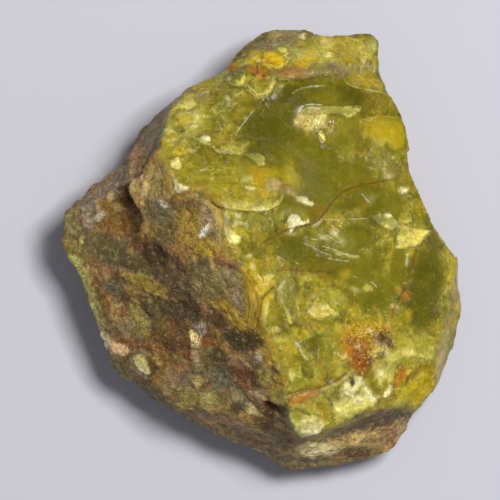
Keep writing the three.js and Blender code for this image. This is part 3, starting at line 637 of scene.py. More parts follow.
    ("cream", 0.65, 0.1, [(-1.8, -4.2), (0, -4.8), (1.6, -4.3), (2.3, -4.9), (1.6, -5.7), (-0.5, -5.8),
     (-1.8, -5)]),
    ("cream", 0.65, 0, [(-0.6, -6.2), (0.8, -6), (0.8, -7), (-0.5, -7)]),
    ("mustard", 0.7, -0.1, [(2.6, -7.4), (3.3, -7), (3.3, -10), (4, -12.6), (5.2, -14.6), (4.6, -15.2),
     (3, -14), (1.8, -12.5), (1.6, -10.5), (2.3, -9)]),
    ("straw", 0.75, 0.1, [(0.2, -9.9), (1.5, -9.5), (1.4, -11), (0.8, -12.6), (0.6, -14.2), (0, -12.6),
     (-0.1, -11)]),
    ("cream", 0.8, 0.1, [(1.3, -15.2), (2.7, -14.3), (3.6, -15.2), (2.4, -16), (1.5, -16)]),
    ("straw", 0.55, 0.05, [(2, -16.3), (4.4, -16.6), (5.6, -16.7), (4, -17.2), (2.2, -17.3)]),
    ("lemon", 0.6, 0, [(3.3, -17.5), (5.6, -17), (6.4, -18.7), (6, -19.8), (4.5, -19.6), (3.4, -18.4)]),
    ("olive", 0.7, -0.15, [(7, -22.1), (9, -21.5), (10, -22.5), (9.8, -24.5), (8.5, -24.4), (7.5, -23.3)]),
    ("sugar", 0.75, 0.1, [(5, -22.7), (6, -22.3), (6.4, -23.5), (6, -25.1), (5.3, -24.6)]),
    ("cream", 0.75, 0.1, [(4.2, -24.6), (5.1, -24.8), (5, -26), (4.2, -26.5)]),
    ("lime", 0.6, 0, [(9, -9), (11, -7.4), (13.5, -7.4), (14.8, -9.5), (14.5, -12), (12, -11), (9.2, -11)]),
    ("straw", 0.7, 0.15, [(8.7, -11.6), (9.6, -10.2), (10.5, -8.6), (10.9, -10), (12.4, -10.9), (14, -11.6),
     (12.4, -12.3), (11.2, -13.2), (9.6, -12.8)]),
    ("chalk", 0.6, 0, [(11, -10.7), (11.8, -10.5), (12.2, -11.2), (11.4, -11.5)]),
    ("sugar", 0.8, 0.1, [(12.6, -11.6), (14.2, -12), (14.9, -12.9), (13.2, -12.6)]),
    ("olive", 0.55, -0.1, [(8, -13), (11, -13.5), (14.6, -13.1), (14, -14.1), (11, -14.3), (8.3, -14.6)]),
    ("lime", 0.5, 0, [(12.5, -14.4), (14.2, -15), (13.5, -17), (12.4, -19), (12.3, -20.8), (11, -22),
     (10, -21), (10.8, -19.3), (12, -17)]),
    # painted shade in a crevice
    ("crevice shade", 0.8, -0.3, [(11.2, -24.8), (12.5, -24), (14, -24.7), (13.6, -25.3), (12.2, -25.5)]),
    # rust pocket
    ("peach", 1.3, 0.1, [(20, -14.9), (21, -14.8), (21.6, -15.6), (20.8, -16), (20.3, -15.6)]),
    ("flame", 1.1, -0.15, [(16.4, -16.5), (18, -16.8), (20, -17), (20.8, -18.3), (19.9, -20), (17.5, -20),
     (16.3, -18.3)]),
    ("peach", 1.3, 0.1, [(17.4, -17.8), (18.6, -17.6), (18.8, -18.6), (17.7, -18.9)]),
    ("brick", 1.3, -0.1, [(20.6, -16.3), (22, -15.7), (23.6, -15.9), (25, -17.2), (25, -19.2), (23.4, -17.8),
     (22.2, -17.9), (21.2, -17.4)]),
    ("pebble", 1.1, 0, [(21.7, -16.6), (22.6, -16.5), (22.6, -17.6), (21.9, -17.6)]),
    ("dark rust", 1.3, -0.15, [(22.7, -16), (23.8, -16.1), (23.7, -17.2), (22.9, -17.2)]),
    ("dark rust", 1.3, -0.15, [(24.2, -17.8), (25, -18), (25, -19.1), (24.3, -18.7)]),
    ("brick", 0.9, 0, [(18.2, -19.1), (19.6, -19), (20.2, -20), (18.8, -20.3)]),
    ("cream", 0.9, 0, [(21, -18.7), (23.4, -17.7), (24.6, -18.8), (24.1, -20), (22.6, -20.9), (21, -20.2)]),
    # painted shade in a crevice
    ("crevice shade", 0.8, -0.15, [(21.2, -20.1), (22.6, -19.9), (23.6, -19.4), (23.2, -21.1), (21.8, -20.9)]),
    ("bright rust", 1.7, 0, [(17.4, -20.7), (19, -20.9), (20.5, -20.6), (21.1, -21.3), (20.4, -22.5),
     (18.8, -22.7), (17.5, -21.9)]),
    ("dark rust", 1.2, -0.15, [(20.5, -20.7), (21.1, -21), (21, -22), (20.5, -21.7)]),
    ("orange", 1.3, 0, [(17.8, -22.2), (19.6, -22.7), (20.4, -23), (19.6, -24.4), (18.2, -23.7)]),
    ("cream", 0.8, 0.05, [(15, -19.5), (15.8, -19.8), (15.8, -20.8), (15.1, -20.4)]),
    ("lime", 1, 0.1, [(25.4, -15.8), (31, -16), (33.6, -16.6), (33.4, -20), (32, -22), (28, -22.6),
     (24, -22.2), (23.6, -21), (25.3, -19)]),
    ("sugar", 0.7, 0.05, [(25.8, -19), (27.5, -18.7), (29, -19), (29.3, -20.3), (27.5, -20.2), (26, -20)]),
    ("pear", 0.65, 0.05, [(29.6, -20), (31, -19.5), (32.5, -20), (32.7, -21.2), (31, -21.3), (30, -21)]),
    ("straw", 0.75, 0.05, [(24, -19.7), (25.5, -19.5), (25.7, -21), (24.3, -21.6), (23.4, -20.9)]),
    ("pear", 1.1, 0.05, [(21.2, -21.8), (23.4, -21.6), (25.4, -22.6), (25.3, -24.6), (24.4, -26),
     (22.5, -25.6), (21.2, -24)]),
    ("chalk", 0.6, 0.05, [(22, -23), (23.1, -23.1), (23.3, -24.1), (22.3, -24.3)]),
    ("flame", 1.5, 0, [(25.8, -23), (26.8, -22.4), (27.9, -23.3), (27.6, -24.6), (26.5, -26), (25.5, -26.1),
     (25.8, -24.5)]),
    ("gold", 0.6, 0.1, [(27.8, -23.3), (29.5, -22.2), (31.2, -22.3), (29.8, -23.2), (28.2, -24)]),
    # painted shade in the cleft
    ("crevice shade", 0.6, -0.2, [(27.8, -24.8), (30, -23.3), (31.2, -23), (29.2, -24.8), (27.2, -26.3)]),
    ("lemon", 0.5, 0.1, [(28, -25.6), (30, -24), (32, -22.8), (33.3, -24), (33.1, -26), (30.5, -29.6),
     (28.3, -30), (26, -29), (25.2, -27), (26.6, -26.4)]),
    ("gold", 0.4, 0, [(30.4, -25.5), (32.8, -25), (32.5, -27.4), (30.6, -29.3), (29, -28.4)]),
    ("chalk", 1, 0.15, [(23.6, -26.8), (24.4, -26), (25, -26.6), (24.6, -27.8), (23.7, -28.3), (23, -27.9)]),
    ("peach", 0.7, 0.05, [(21.5, -27.4), (22.4, -27.3), (22.6, -28.2), (21.8, -28.4)]),
    ("pear", 0.7, 0, [(25.2, -27.8), (26.5, -27.8), (27.3, -29), (26.2, -29.4)]),
    # front step
    # painted shade along the front crack
    ("crevice shade", 0.8, -0.25, [(4.6, -27.6), (6.5, -26.9), (8.6, -26.2), (10, -25.9), (9.4, -26.8), (7, -27.3),
     (5, -28)]),
    ("lime", 1.3, 0.25, [(5.1, -28), (8, -27.2), (10.8, -26.9), (13.3, -29.4), (13.9, -31), (12.5, -33.1),
     (11, -34.4), (9, -35.4), (7.8, -35.5), (6.3, -33.6), (5.4, -31.5)]),
    ("flame", 1.3, 0.05, [(5, -28), (7, -27.3), (9, -26.9), (10.8, -26.9), (10, -28.1), (7.5, -28.8),
     (5.2, -29.1)]),
    ("peach", 0.8, 0.05, [(8.4, -27.6), (10.4, -26.9), (10.8, -27.5), (9, -28.4)]),
    ("sugar", 1.4, 0.1, [(5.2, -29.8), (5.9, -31.6), (6.9, -33.6), (8.2, -35.3), (7.4, -35.3), (5.9, -33.2),
     (5.2, -31.3)]),
    ("chalk", 0.5, 0.1, [(7, -32.2), (8, -31.6), (10, -31.5), (11.6, -32.3), (12.3, -33.5), (11, -34.6),
     (9.5, -35.1), (8, -34.9), (7.2, -33.6)]),
    ("chalk", 0.9, 0.05, [(7.7, -34), (8.8, -33.6), (9.3, -34.4), (8.5, -35), (7.9, -34.7)]),
    ("chalk", 0.9, 0.05, [(9.7, -33.9), (10.6, -33.9), (10.5, -34.7), (9.8, -34.7)]),
    ("mustard", 0.9, -0.1, [(9.8, -28.9), (11.6, -29.2), (13.1, -30.4), (13.5, -31.5), (12, -32),
     (10.8, -31)]),
    ("beige", 1, 0.05, [(10.8, -26.9), (12.5, -26), (14.5, -25.1), (16.5, -23.8), (17.5, -22.8),
     (17.6, -23.5), (16, -24.9), (14, -25.9), (12, -26.7)]),
    ("sage", 1.2, -0.1, [(12.2, -26.7), (13.6, -26.1), (15.1, -26.6), (15.3, -27.8), (13.8, -28.4),
     (12.5, -27.9)]),
    ("slate", 0.9, -0.1, [(12.3, -28.2), (13.2, -28.7), (13.6, -30), (12.9, -29.7)]),
    ("sugar", 1, 0.05, [(15.2, -25.3), (17.8, -23.8), (19.8, -24.8), (21.2, -27.5), (22, -29.2), (19, -30.6),
     (16, -31.6), (14.4, -30.6), (14.8, -28)]),
    ("chalk", 0.6, 0.15, [(15.4, -25.1), (16.6, -24.8), (17.8, -23.9), (19, -24.3), (19.4, -25.6),
     (18.3, -26.4), (17.6, -27.7), (16.4, -27.9), (15.4, -26.8)]),
    ("chalk", 0.55, 0.1, [(18.6, -26), (20.2, -26.2), (21, -27.5), (21.7, -28.8), (20.6, -28.9),
     (19.6, -27.9)]),
    ("chalk", 1, 0.05, [(15.8, -27.2), (17, -27.2), (18, -28.4), (19.2, -28.6), (18.6, -29), (17.2, -28.8)]),
    ("slate", 1.2, -0.15, [(16.4, -24.4), (17.5, -24), (17.9, -25.3), (17.4, -26), (16.8, -25.2)]),
    ("slate", 0.8, -0.05, [(15.6, -26), (16.4, -26.3), (16.6, -27.2), (15.8, -26.9)]),
    ("slate", 0.8, -0.05, [(17.4, -26.9), (18.4, -26.7), (18.6, -27.6), (17.9, -27.8)]),
    ("pear", 0.75, 0.1, [(13.5, -28.9), (15, -28.4), (16.5, -28), (17.8, -29), (20, -29.3), (20, -30.4),
     (18.5, -31.6), (16.5, -32.6), (14.6, -33), (13.8, -31.8)]),
    ("sugar", 0.8, 0.05, [(13.4, -28.9), (14.4, -28.6), (15.2, -30), (14.6, -31.1), (13.7, -30.5)]),
    ("tan", 0.65, 0, [(11, -34.9), (12.5, -33.8), (14, -33.2), (16.2, -33), (15.2, -34.1), (13, -35)]),
    ("lime", 0.5, 0, [(20.5, -28.8), (23, -28.6), (26, -29.3), (28, -29.8), (24, -30), (20, -30.2)]),
]

# %% Shards of the rind
RIND_SHARDS = [
    # shoulder
    ("mud", 0.6, 0, [(-22.5, 22), (-21.5, 25), (-19, 27), (-17.7, 28.3), (-18, 26), (-18.8, 23.5),
     (-20.5, 20.5)]),
    ("khaki", 0.7, 0, [(-22.2, 23), (-21.5, 24.2), (-20.2, 24), (-20, 22.8), (-21, 22.3)]),
    ("pebble", 0.5, 0, [(-22.5, 21.5), (-21.2, 22), (-20.8, 20.8), (-22.3, 20.4)]),
    ("fawn", 0.7, 0.3, [(-24.5, 19.5), (-23.2, 20.5), (-22.2, 19), (-22.6, 17), (-23.3, 15.3), (-24.2, 14.2),
     (-25.3, 14.2), (-25.3, 17)]),
    ("peach", 0.5, 0, [(-24.9, 16.4), (-24.1, 16.9), (-23.5, 16), (-24.2, 15.2)]),
    ("cream", 0.5, 0, [(-25.9, 15.2), (-25.4, 15.9), (-24.9, 15), (-25, 14), (-25.6, 14.3)]),
    ("fawn", 0.6, 0.1, [(-20, 19), (-19.2, 19.2), (-19.6, 17.3), (-21.3, 15), (-23, 14), (-22.6, 15),
     (-21.2, 17.3)]),
    ("shoulder brown", 0.7, 0, [(-24.3, 20), (-26, 18.2), (-29, 15.8), (-32, 13.4), (-35, 10.8), (-37, 8.8),
     (-35.8, 8.7), (-33, 10.8), (-31, 12.2), (-28.6, 14.6), (-26.5, 16.8), (-25, 18.6)]),
    ("lilac slate", 0.75, -0.15, [(-25.7, 17.3), (-27.2, 15.8), (-29, 13.8), (-31, 11.8), (-34, 9.8),
     (-35.2, 8.4), (-33, 8.4), (-31, 9.9), (-28.5, 12), (-26.6, 13.3), (-25.9, 15.2)]),
    ("pebble", 0.6, 0, [(-29, 13.2), (-28.4, 13.7), (-27.4, 13), (-28.3, 12.6)]),
    # knob and scoop
    ("honey brown", 0.75, -0.6, [(-31.8, 8.8), (-30, 9.9), (-28.4, 11.2), (-26.2, 12.7), (-25, 10.2),
     (-23.9, 8), (-23.1, 5.5), (-23.5, 3.6), (-26, 2.9), (-30, 3.4), (-32, 4.8), (-30.8, 7)]),
    ("tan", 0.4, 0.1, [(-29.5, 8.8), (-28, 9.2), (-27, 8.3), (-27.2, 7.2), (-28.6, 7.2)]),
    # painted shadow of the knob, in the cleft to its left
    ("coffee", 0.6, -0.3, [(-26.3, 12.5), (-25.5, 12.8), (-25, 10.6), (-24, 8.4), (-23.4, 6.5), (-24.3, 7.3),
     (-25.5, 8), (-26.8, 9.5), (-26.8, 11)]),
    ("beige", 0.8, 0.1, [(-30, 10), (-29.6, 10.8), (-28.6, 11.3), (-28.1, 11.8), (-28, 11.2), (-28.6, 10.5),
     (-29.4, 9.9)]),
    ("pebble", 0.5, 0.1, [(-34.6, 8.2), (-32.6, 8.2), (-32.4, 6), (-32.6, 4.2), (-34.4, 4.4)]),
    ("chalk", 0.5, 0, [(-31.4, 7.5), (-31, 7.3), (-31.4, 5.9), (-31.8, 6)]),
    ("khaki", 0.7, 0, [(-38.3, 6.3), (-37.4, 7.9), (-35.6, 8.3), (-34.9, 6.5), (-35, 4), (-36.6, 3.7),
     (-37.6, 4.5)]),
    ("knob gold", 0.9, 0.4, [(-25.3, 12.3), (-24.4, 13.3), (-22.6, 14), (-21.6, 12.9), (-22, 11),
     (-22.3, 9.6), (-22.3, 8.2), (-23.6, 8), (-24.3, 9.5), (-25.4, 11)]),
    ("beige", 0.5, 0, [(-22.6, 12.6), (-21.9, 12.3), (-21.7, 10.9), (-22.4, 10.8)]),
    ("orange", 0.5, 0, [(-24, 10.8), (-23, 10.5), (-22.6, 8.3), (-23.6, 8.2), (-24.2, 9.5)]),
    # rind far
    ("teal", 0.6, 0, [(-21.8, 9.3), (-19.5, 9.8), (-17, 8.2), (-16.7, 6), (-19, 5.1), (-21.6, 6.2)]),
    ("chalk", 0.7, 0.1, [(-19.6, 9.2), (-19, 9.3), (-18.3, 8.4), (-18.6, 7.9), (-19.2, 8.6)]),
    ("celery", 0.95, 0, [(-36.8, -0.8), (-35.6, -3.5), (-34.3, -6.5), (-33.3, -9.5), (-32.2, -12.6),
     (-31.3, -12.4), (-32, -9.5), (-33.3, -5.5), (-35.2, -1.5)]),
    ("beige", 1, 0, [(-32.2, -12.8), (-31.4, -15.3), (-30.3, -17.6), (-28.8, -18), (-30, -16),
     (-31.1, -13.2)]),
    ("chalk", 1.2, 0.1, [(-17.1, 14.3), (-16, 13.1), (-13.6, 12), (-14, 11.3), (-16.4, 11.1)]),
    ("olive lemon", 0.5, 0, [(-20, 16.8), (-18.3, 17), (-17, 14), (-16.2, 11.6), (-18, 10.7), (-20.5, 11.3),
     (-21.5, 13)]),
    ("clay", 0.5, 0, [(-20, 13.3), (-19, 13.2), (-18, 12), (-18.7, 11.9), (-19.7, 12.7)]),
    ("hemp", 0.6, 0.1, [(-38.1, 2.5), (-37, 3.9), (-35.8, 2), (-35, 0.2), (-33.9, -1.5), (-35.3, -1),
     (-37, 0), (-38, 1.2)]),
    ("pear", 0.5, 0.25, [(-34.9, 2.4), (-34.4, 2.5), (-34.2, 1.3), (-34.6, 0.3), (-35.4, 0.2), (-35, 1.2)]),
    ("bark", 0.6, 0, [(-33.8, 3), (-30, 2.9), (-27, 1.7), (-25.6, 0.2), (-25, -1.5), (-24, -3.4),
     (-25.8, -3.5), (-28, -2.8), (-30.5, -2), (-33.3, 0)]),
    # rind middle
    ("dark choc", 0.6, -0.1, [(-22.8, 1.2), (-20, 1), (-18, 0), (-17.7, -2), (-19, -3.3), (-21, -3.1),
     (-22.7, -2.3), (-23, -0.5)]),
    ("bark", 0.8, 0, [(-24.5, -3.3), (-22, -3.3), (-20, -3.3), (-18.3, -4), (-17.8, -6), (-18.8, -7),
     (-20, -6.2), (-22, -5), (-23.8, -4.5)]),
    ("brass", 0.62, 0.2, [(-27.5, -4.6), (-25.5, -4.1), (-23.5, -4.6), (-21.5, -5.3), (-19.5, -6.5),
     (-18.2, -8), (-18.4, -8.9), (-19.8, -9.1), (-21.5, -8.3), (-23.5, -7), (-25.6, -5.9)]),
    ("mustard", 0.3, 0, [(-23.8, -6), (-21, -6.4), (-19.3, -7.6), (-19.1, -8.6), (-20.5, -8.4),
     (-22.6, -7.2)]),
    ("teal", 0.7, 0, [(-30.5, -5.6), (-28.5, -5.8), (-26.4, -6.4), (-26.4, -8.6), (-27.2, -9.3),
     (-28.6, -8.3), (-30.4, -7)]),
    ("dust", 0.4, 0, [(-33, -3), (-30, -3.1), (-28.4, -3.6), (-29, -5), (-31.2, -5.6), (-33, -5)]),
    ("olive lemon", 0.5, 0, [(-34.4, -4.5), (-33.2, -5.5), (-32, -8), (-31, -11), (-30.8, -13),
     (-31.9, -12.5), (-32.6, -11), (-33.7, -8), (-34.6, -6)]),
    ("pear", 0.5, 0, [(-33.7, -9), (-33, -8.6), (-32, -11.8), (-32.5, -12)]),
    ("bark", 0.6, -0.05, [(-32.5, -6.3), (-31, -8), (-30, -10.5), (-29, -13), (-30.3, -13), (-31.1, -11),
     (-32, -8.3)]),
    ("brick", 0.6, 0.1, [(-30, -11.4), (-28, -10.9), (-26, -10.9), (-25, -12.2), (-26.5, -12.7),
     (-28.6, -12.5), (-30, -12.3)]),
    ("olive lemon", 0.8, 0.1, [(-25.6, -10.2), (-24.5, -10.7), (-23.4, -12.5), (-22, -14), (-21.7, -15.3),
     (-22.9, -15), (-24.1, -13.3), (-25.3, -11.7)]),
    ("bark", 0.7, -0.1, [(-23.5, -8.6), (-21, -9.4), (-18, -9.5), (-17.9, -12), (-19.5, -13.5), (-20.5, -16),
     (-21.8, -13.6), (-23.3, -11)]),
    ("dark grey", 0.5, -0.1, [(-18, -10.2), (-15, -10.5), (-12.8, -11.5), (-11.5, -12), (-12.5, -13.5),
     (-15.5, -13.6), (-17.8, -12.5)]),
    ("clay", 0.35, 0, [(-18.6, -13.4), (-16, -13.3), (-14.4, -14.5), (-15, -17), (-17.5, -17),
     (-18.9, -15)]),
    ("slate", 0.4, 0, [(-18, -3), (-16, -3.5), (-15, -5), (-13, -6), (-13, -8.5), (-15, -9), (-17.5, -8.5),
     (-18.3, -6)]),
    ("fawn", 0.6, 0.05, [(-18.6, 0.2), (-16, 0.3), (-13.4, -0.2), (-12.3, -0.9), (-15, -1.3), (-17.8, -1)]),
    ("brass", 0.6, 0.1, [(-15.5, 3), (-13.5, 4), (-12, 2.7), (-9.5, 2.4), (-8.2, 0.5), (-8.8, -0.7),
     (-11, -1.3), (-13, -0.6), (-14.5, 0.8), (-16.8, 1.5)]),
    ("brass", 0.4, 0, [(-14.6, 7.5), (-12.2, 8), (-11.8, 5), (-12.3, 3.6), (-14, 3.5), (-15.2, 5.5)]),
    ("chalk", 1, 0.2, [(-12.2, 3.2), (-11.7, 3.8), (-10.7, 4.4), (-10.2, 5), (-9.9, 4), (-10.5, 2.9),
     (-11.2, 2.5), (-12, 2.6)]),
    ("mud", 0.4, 0, [(-11.5, 7.6), (-8.5, 8), (-7.7, 5.5), (-7.7, 3), (-9.3, 3), (-10, 5), (-11, 5.6)]),
    ("fawn", 0.9, 0.15, [(-9.3, 0.4), (-7.6, -0.7), (-5.7, -1.6), (-4.2, -2), (-5, -2.8), (-7, -2.5),
     (-8.8, -1.4)]),
    ("dark rust", 0.8, -0.1, [(-8.8, -1.8), (-7.2, -2.7), (-5.2, -3), (-4.2, -3.4), (-6, -3.8),
     (-8.4, -3.3)]),
    ("khaki", 0.5, 0, [(-12.5, -4), (-10, -3.8), (-7, -4), (-5.5, -5.5), (-5.5, -8), (-7, -9.3), (-10, -9.3),
     (-12.5, -8)]),
    # swirl
    ("oat", 0.7, 0, [(-6, -8), (-4.8, -7.3), (-3.6, -8.5), (-3.6, -11), (-4.6, -11.5), (-5.8, -10)]),
    ("brass", 0.75, 0.1, [(-10.5, -9.6), (-8, -9.8), (-6, -10.5), (-5, -12), (-3.8, -13), (-2.5, -14.5),
     (-3.4, -15.5), (-5.3, -13.3), (-7, -11.6), (-9.5, -10.8)]),
    ("coffee", 0.5, 0, [(-10.5, -12), (-8, -12.2), (-7, -14), (-8.5, -15.5), (-11, -14.3)]),
    ("dark moss", 0.8, -0.15, [(-7.3, -15.2), (-5, -14.6), (-3, -15.5), (-0.5, -16.1), (0.5, -17.3),
     (-0.7, -19), (-3, -19.4), (-5.5, -19.3), (-7.3, -17.2)]),
    # rind near
    ("cream", 0.75, 0.3, [(-13.9, -15.4), (-12.6, -14.9), (-11.2, -16), (-11.4, -17.6), (-12.2, -18.5),
     (-13.4, -18)]),
    ("pebble", 0.7, 0.2, [(-13.3, -14.2), (-11.6, -13.7), (-10.7, -14.3), (-10.5, -16), (-11.5, -16.4),
     (-12, -15.8), (-13.2, -15.4)]),
    ("rust", 0.8, 0.15, [(-11.6, -16.8), (-10.2, -16.8), (-9, -17.4), (-10, -18.4), (-11.3, -18.3)]),
    ("fawn", 0.7, 0.15, [(-8.3, -17.7), (-7, -17.8), (-6, -18.9), (-6.8, -19.8), (-7.9, -19)]),
    ("dark rust", 0.7, -0.2, [(-14.6, -17), (-13.6, -18.6), (-13.8, -20.3), (-13, -21.4), (-14.5, -21),
     (-16, -19.5), (-16, -17.6)]),
    ("peach", 0.5, 0.1, [(-14, -19.3), (-12.5, -19.3), (-11.7, -20.8), (-12.3, -22), (-13.3, -20.7)]),
    ("bark", 0.7, 0, [(-10, -19), (-8, -18.8), (-7, -20), (-7.8, -21.8), (-9.6, -22)]),
    ("mouse", 0.5, 0, [(-6, -20), (-4, -19.6), (-1.5, -19.4), (0, -20), (0, -21.8), (-2, -22.5),
     (-4.8, -22.8), (-6, -21.8)]),
    ("chalk", 0.5, 0, [(-0.6, -19.6), (-0.1, -19.6), (0, -21), (-0.4, -21)]),
    ("dark red", 0.85, -0.1, [(-5.8, -22.7), (-4.5, -22.5), (-2.5, -23.5), (-0.8, -23.9), (-0.8, -26),
     (-2, -26.9), (-3.7, -26), (-5.3, -24.6)]),
    ("teal", 0.8, -0.1, [(-9.8, -22.7), (-7.5, -22.2), (-6, -23.5), (-5.2, -25.3), (-6.5, -26.8),
     (-8.5, -26.5), (-9.8, -25)]),
    ("tan", 0.6, 0.1, [(-13.2, -24), (-12, -24.2), (-11.8, -26), (-12.7, -26.6), (-13.4, -25.3)]),
    ("hemp", 0.7, 0.1, [(-15, -26.5), (-13, -26.8), (-12.4, -28.5), (-13, -30), (-14.5, -31.3),
     (-16.3, -31.4), (-17.3, -30), (-16, -28)]),
    ("olive lemon", 0.6, 0.1, [(-11.9, -28), (-10.5, -26.8), (-9, -27), (-8, -28.2), (-8.8, -30),
     (-10.4, -31.1), (-12, -30.3)]),
    ("sugar", 0.4, 0, [(-11.2, -28.2), (-9.8, -27.6), (-9.2, -28.8), (-10.2, -30)]),
    ("clay", 0.7, 0.1, [(-28.4, -16.9), (-26.5, -17), (-25, -17.5), (-22, -17.8), (-19.4, -18), (-19.1, -19),
     (-22, -18.8), (-25, -18.6), (-27, -18.3)]),
    ("peach", 0.6, 0.15, [(-29.4, -17.9), (-27.5, -18.1), (-25.8, -19), (-25.4, -20.1), (-27, -20.3),
     (-28.8, -19.8)]),
    ("chalk", 0.5, 0.1, [(-32, -14), (-31.4, -15.5), (-30.2, -17), (-29.3, -18), (-29, -19.3), (-29.9, -19),
     (-30.9, -17.3), (-31.9, -15.5)]),
    ("pear", 0.55, 0.35, [(-24.8, -20.3), (-23.5, -20.1), (-22.6, -21.2), (-21.8, -22.5), (-21.7, -23.6),
     (-22.4, -24), (-23.6, -22.8), (-24.6, -21.5)]),
    ("chalk", 0.6, 0, [(-24.8, -21.2), (-24.3, -21.1), (-22.4, -23.6), (-22.4, -24.1), (-23.4, -23.5)]),
    ("lichen", 0.8, 0, [(-29.3, -20.4), (-27.5, -20.6), (-25.5, -22.6), (-23.5, -24.8), (-21.4, -27),
     (-21, -28.3), (-23, -27.3), (-25.5, -25.5), (-28.7, -22.4)]),
    ("bark", 0.6, 0, [(-23.2, -25.2), (-21.6, -26.3), (-20.9, -28.2), (-22.6, -27.6)]),
    ("oat", 0.5, 0, [(-6, -27), (-4, -27), (-3.2, -28.2), (-4.5, -29.5), (-6, -29)]),
    ("cream", 0.7, 0.1, [(-2.9, -29.2), (-2, -29.6), (-1, -30.8), (-0.9, -31.8), (-2, -31.7),
     (-2.8, -30.8)]),
    ("beige", 0.6, 0, [(-1.7, -27), (0.5, -26.3), (1, -28), (-0.3, -28.7), (-1.5, -28.2)]),
    ("olive lemon", 0.7, 0.1, [(1, -26.5), (3, -25.9), (4.5, -26.3), (4.2, -28), (4.8, -29.5), (3, -29.3),
     (1.5, -28.3)]),
    ("coffee", 0.8, -0.3, [(0, -28.8), (2, -29.4), (3.4, -30.4), (3.8, -31.9), (2.5, -31.4), (1, -30.6)]),
    # flank under the step
    ("dust", 0.5, 0, [(-12, -32.2), (-9, -31.9), (-5, -31.9), (-3, -32.3), (-5, -33.6), (-9, -34.5),
     (-12, -33.4)]),
    ("umber", 0.6, -0.1, [(-4.2, -35.8), (-1.5, -36.2), (1, -37.5), (-0.5, -37.9), (-3.5, -36.7)]),
    ("coffee", 0.5, -0.1, [(-0.6, -33), (1, -33.4), (1.6, -34.4), (0, -34.6)]),
    ("umber", 0.5, -0.1, [(3, -36.4), (5, -36.4), (7, -37.4), (6, -38.1), (4, -37.6)]),
    ("tan", 0.6, 0, [(5.5, -38.4), (7.3, -37.8), (8, -39.2), (6.6, -40)]),
    # front and shelf
    ("ledge grey", 0.95, 0, [(8, -36.2), (12, -35.8), (14.5, -34.5), (17, -32.9), (19.5, -31.6), (22, -30.4),
     (25, -30.1), (28, -30.5), (29.5, -31.3), (27.5, -32.1), (24.5, -33), (21.5, -34), (18.5, -34.7),
     (16, -35.7), (14, -36.6), (10.5, -36.9)]),
    ("shoulder brown", 0.7, 0, [(10, -35.9), (13, -34.8), (16, -33.2), (20, -31.3), (21.5, -30.7),
     (19, -32.2), (16.5, -33.6), (14, -35)]),
    ("bark", 0.6, 0, [(18.3, -33.5), (21, -33.4), (24.5, -33.4), (21.5, -34.9), (18.3, -35.3)]),
    ("tan", 0.8, 0.1, [(15, -36.6), (17.4, -35.2), (19, -35.7), (18.6, -37), (17, -37.6), (15.5, -37.3)]),
    ("toffee", 0.6, 0, [(18.4, -36), (22, -36), (23.6, -37), (21, -38), (18.4, -37.6)]),
    ("clay", 0.6, 0, [(23.4, -34.5), (25.5, -34.4), (26.4, -36), (25.6, -37), (24, -37)]),
    ("beige", 0.6, 0, [(26, -33), (28, -32.5), (27.3, -34.5), (26.3, -36.5), (26.1, -35)]),
    ("cream", 0.85, 0.1, [(7.3, -37.5), (9, -36.9), (11.5, -37.3), (13, -38), (15.8, -37.8), (14.3, -39.1),
     (12, -39.5), (9.5, -39.8), (7.5, -39.4)]),
    ("umber", 0.7, -0.1, [(15.8, -38.3), (19, -38.1), (21.2, -38.6), (20, -39.8), (17.5, -40.3),
     (15.4, -40)]),
    ("khaki", 0.6, 0, [(5.5, -40.3), (10, -40.2), (14, -40.2), (16.3, -40.8), (12, -41.5), (8, -41.8),
     (6, -41.5)]),
    ("coffee", 0.85, -0.3, [(2, -29.8), (3.5, -30), (4.9, -31.6), (4, -31.9), (2.6, -31.1)]),
]

# %% Raise the shards
LIFT_ALL = 1.3  # every lift in the lists is made larger by this
VEIL_LIFT = 0.15  # mm: a shard that rises or sinks less is partly a veil, a mere change of colour
SHARD_SOFT = 0.22  # mm over which a proud shard's outline fades and its edge steps
VEIL_SOFT = 0.9  # the same for a veil
VEIL_WANDER = 0.5  # mm by which a veil's edge wanders
SHARD_REACH = 1  # mm round a shard in which it can still show
LEAST_UP = 0.08  # no shard lies on points that look sideways or down
FRAY = np.column_stack([bumps(at + 15, 1.6, 3), bumps(at - 15, 1.6, 3)])
SHARD_FRAY = 0.22  # mm, of noise and of corners
JAGGED = own_chip(at, 1.3)[0][:, :2] * SHARD_FRAY
FALL = np.array((0.3, -0.95))  # scales overlap like slates: each ends crisply towards the front


def veil(lift):
    """1 for a shard with no lift, 0 for one that stands proud or is broken out."""
    return 1 - min(1, abs(lift) / VEIL_LIFT)


def shard_on(outline):
    """The points in and around an outline, how deep inside its edge each lies, and how far down it."""
    corners = np.array(outline)
    near = reached(corners, SHARD_REACH, LEAST_UP)
    spots = (plan + FRAY * SHARD_FRAY + JAGGED)[near]
    edge = np.full(len(near), FAR)
    for start, end in zip(corners, np.roll(corners, -1, axis=0)):
        edge = np.minimum(edge, np.hypot(*off_piece(spots, start, end - start)[1].T))
    down = (spots - corners.mean(0)) @ FALL / np.ptp(corners @ FALL) * 2
    return near, np.where(within(outline, spots), edge, -edge), down


SHARD_POINTS = {}
for family, shards in (("fresh", FRESH_SHARDS), ("rind", RIND_SHARDS)):
    SHARD_POINTS[family] = []
    for colour, strength, lift, outline in shards:
        near, depth, down = shard_on(outline)
        depth += FRAY[near, 1] * VEIL_WANDER * veil(lift)
        slope = fade(down * np.sign(lift), 0.6, -1.3) if family == "fresh" and lift else 1
        relief[near] += LIFT_ALL * lift * slope * fade(depth, SHARD_SOFT, -SHARD_SOFT)
        SHARD_POINTS[family].append((colour, strength, lift, near, depth, down))
count = len(FRESH_SHARDS) + len(RIND_SHARDS)
print(f"{count} shards, relief now {relief.min():.2f} to {relief.max():.2f} mm")
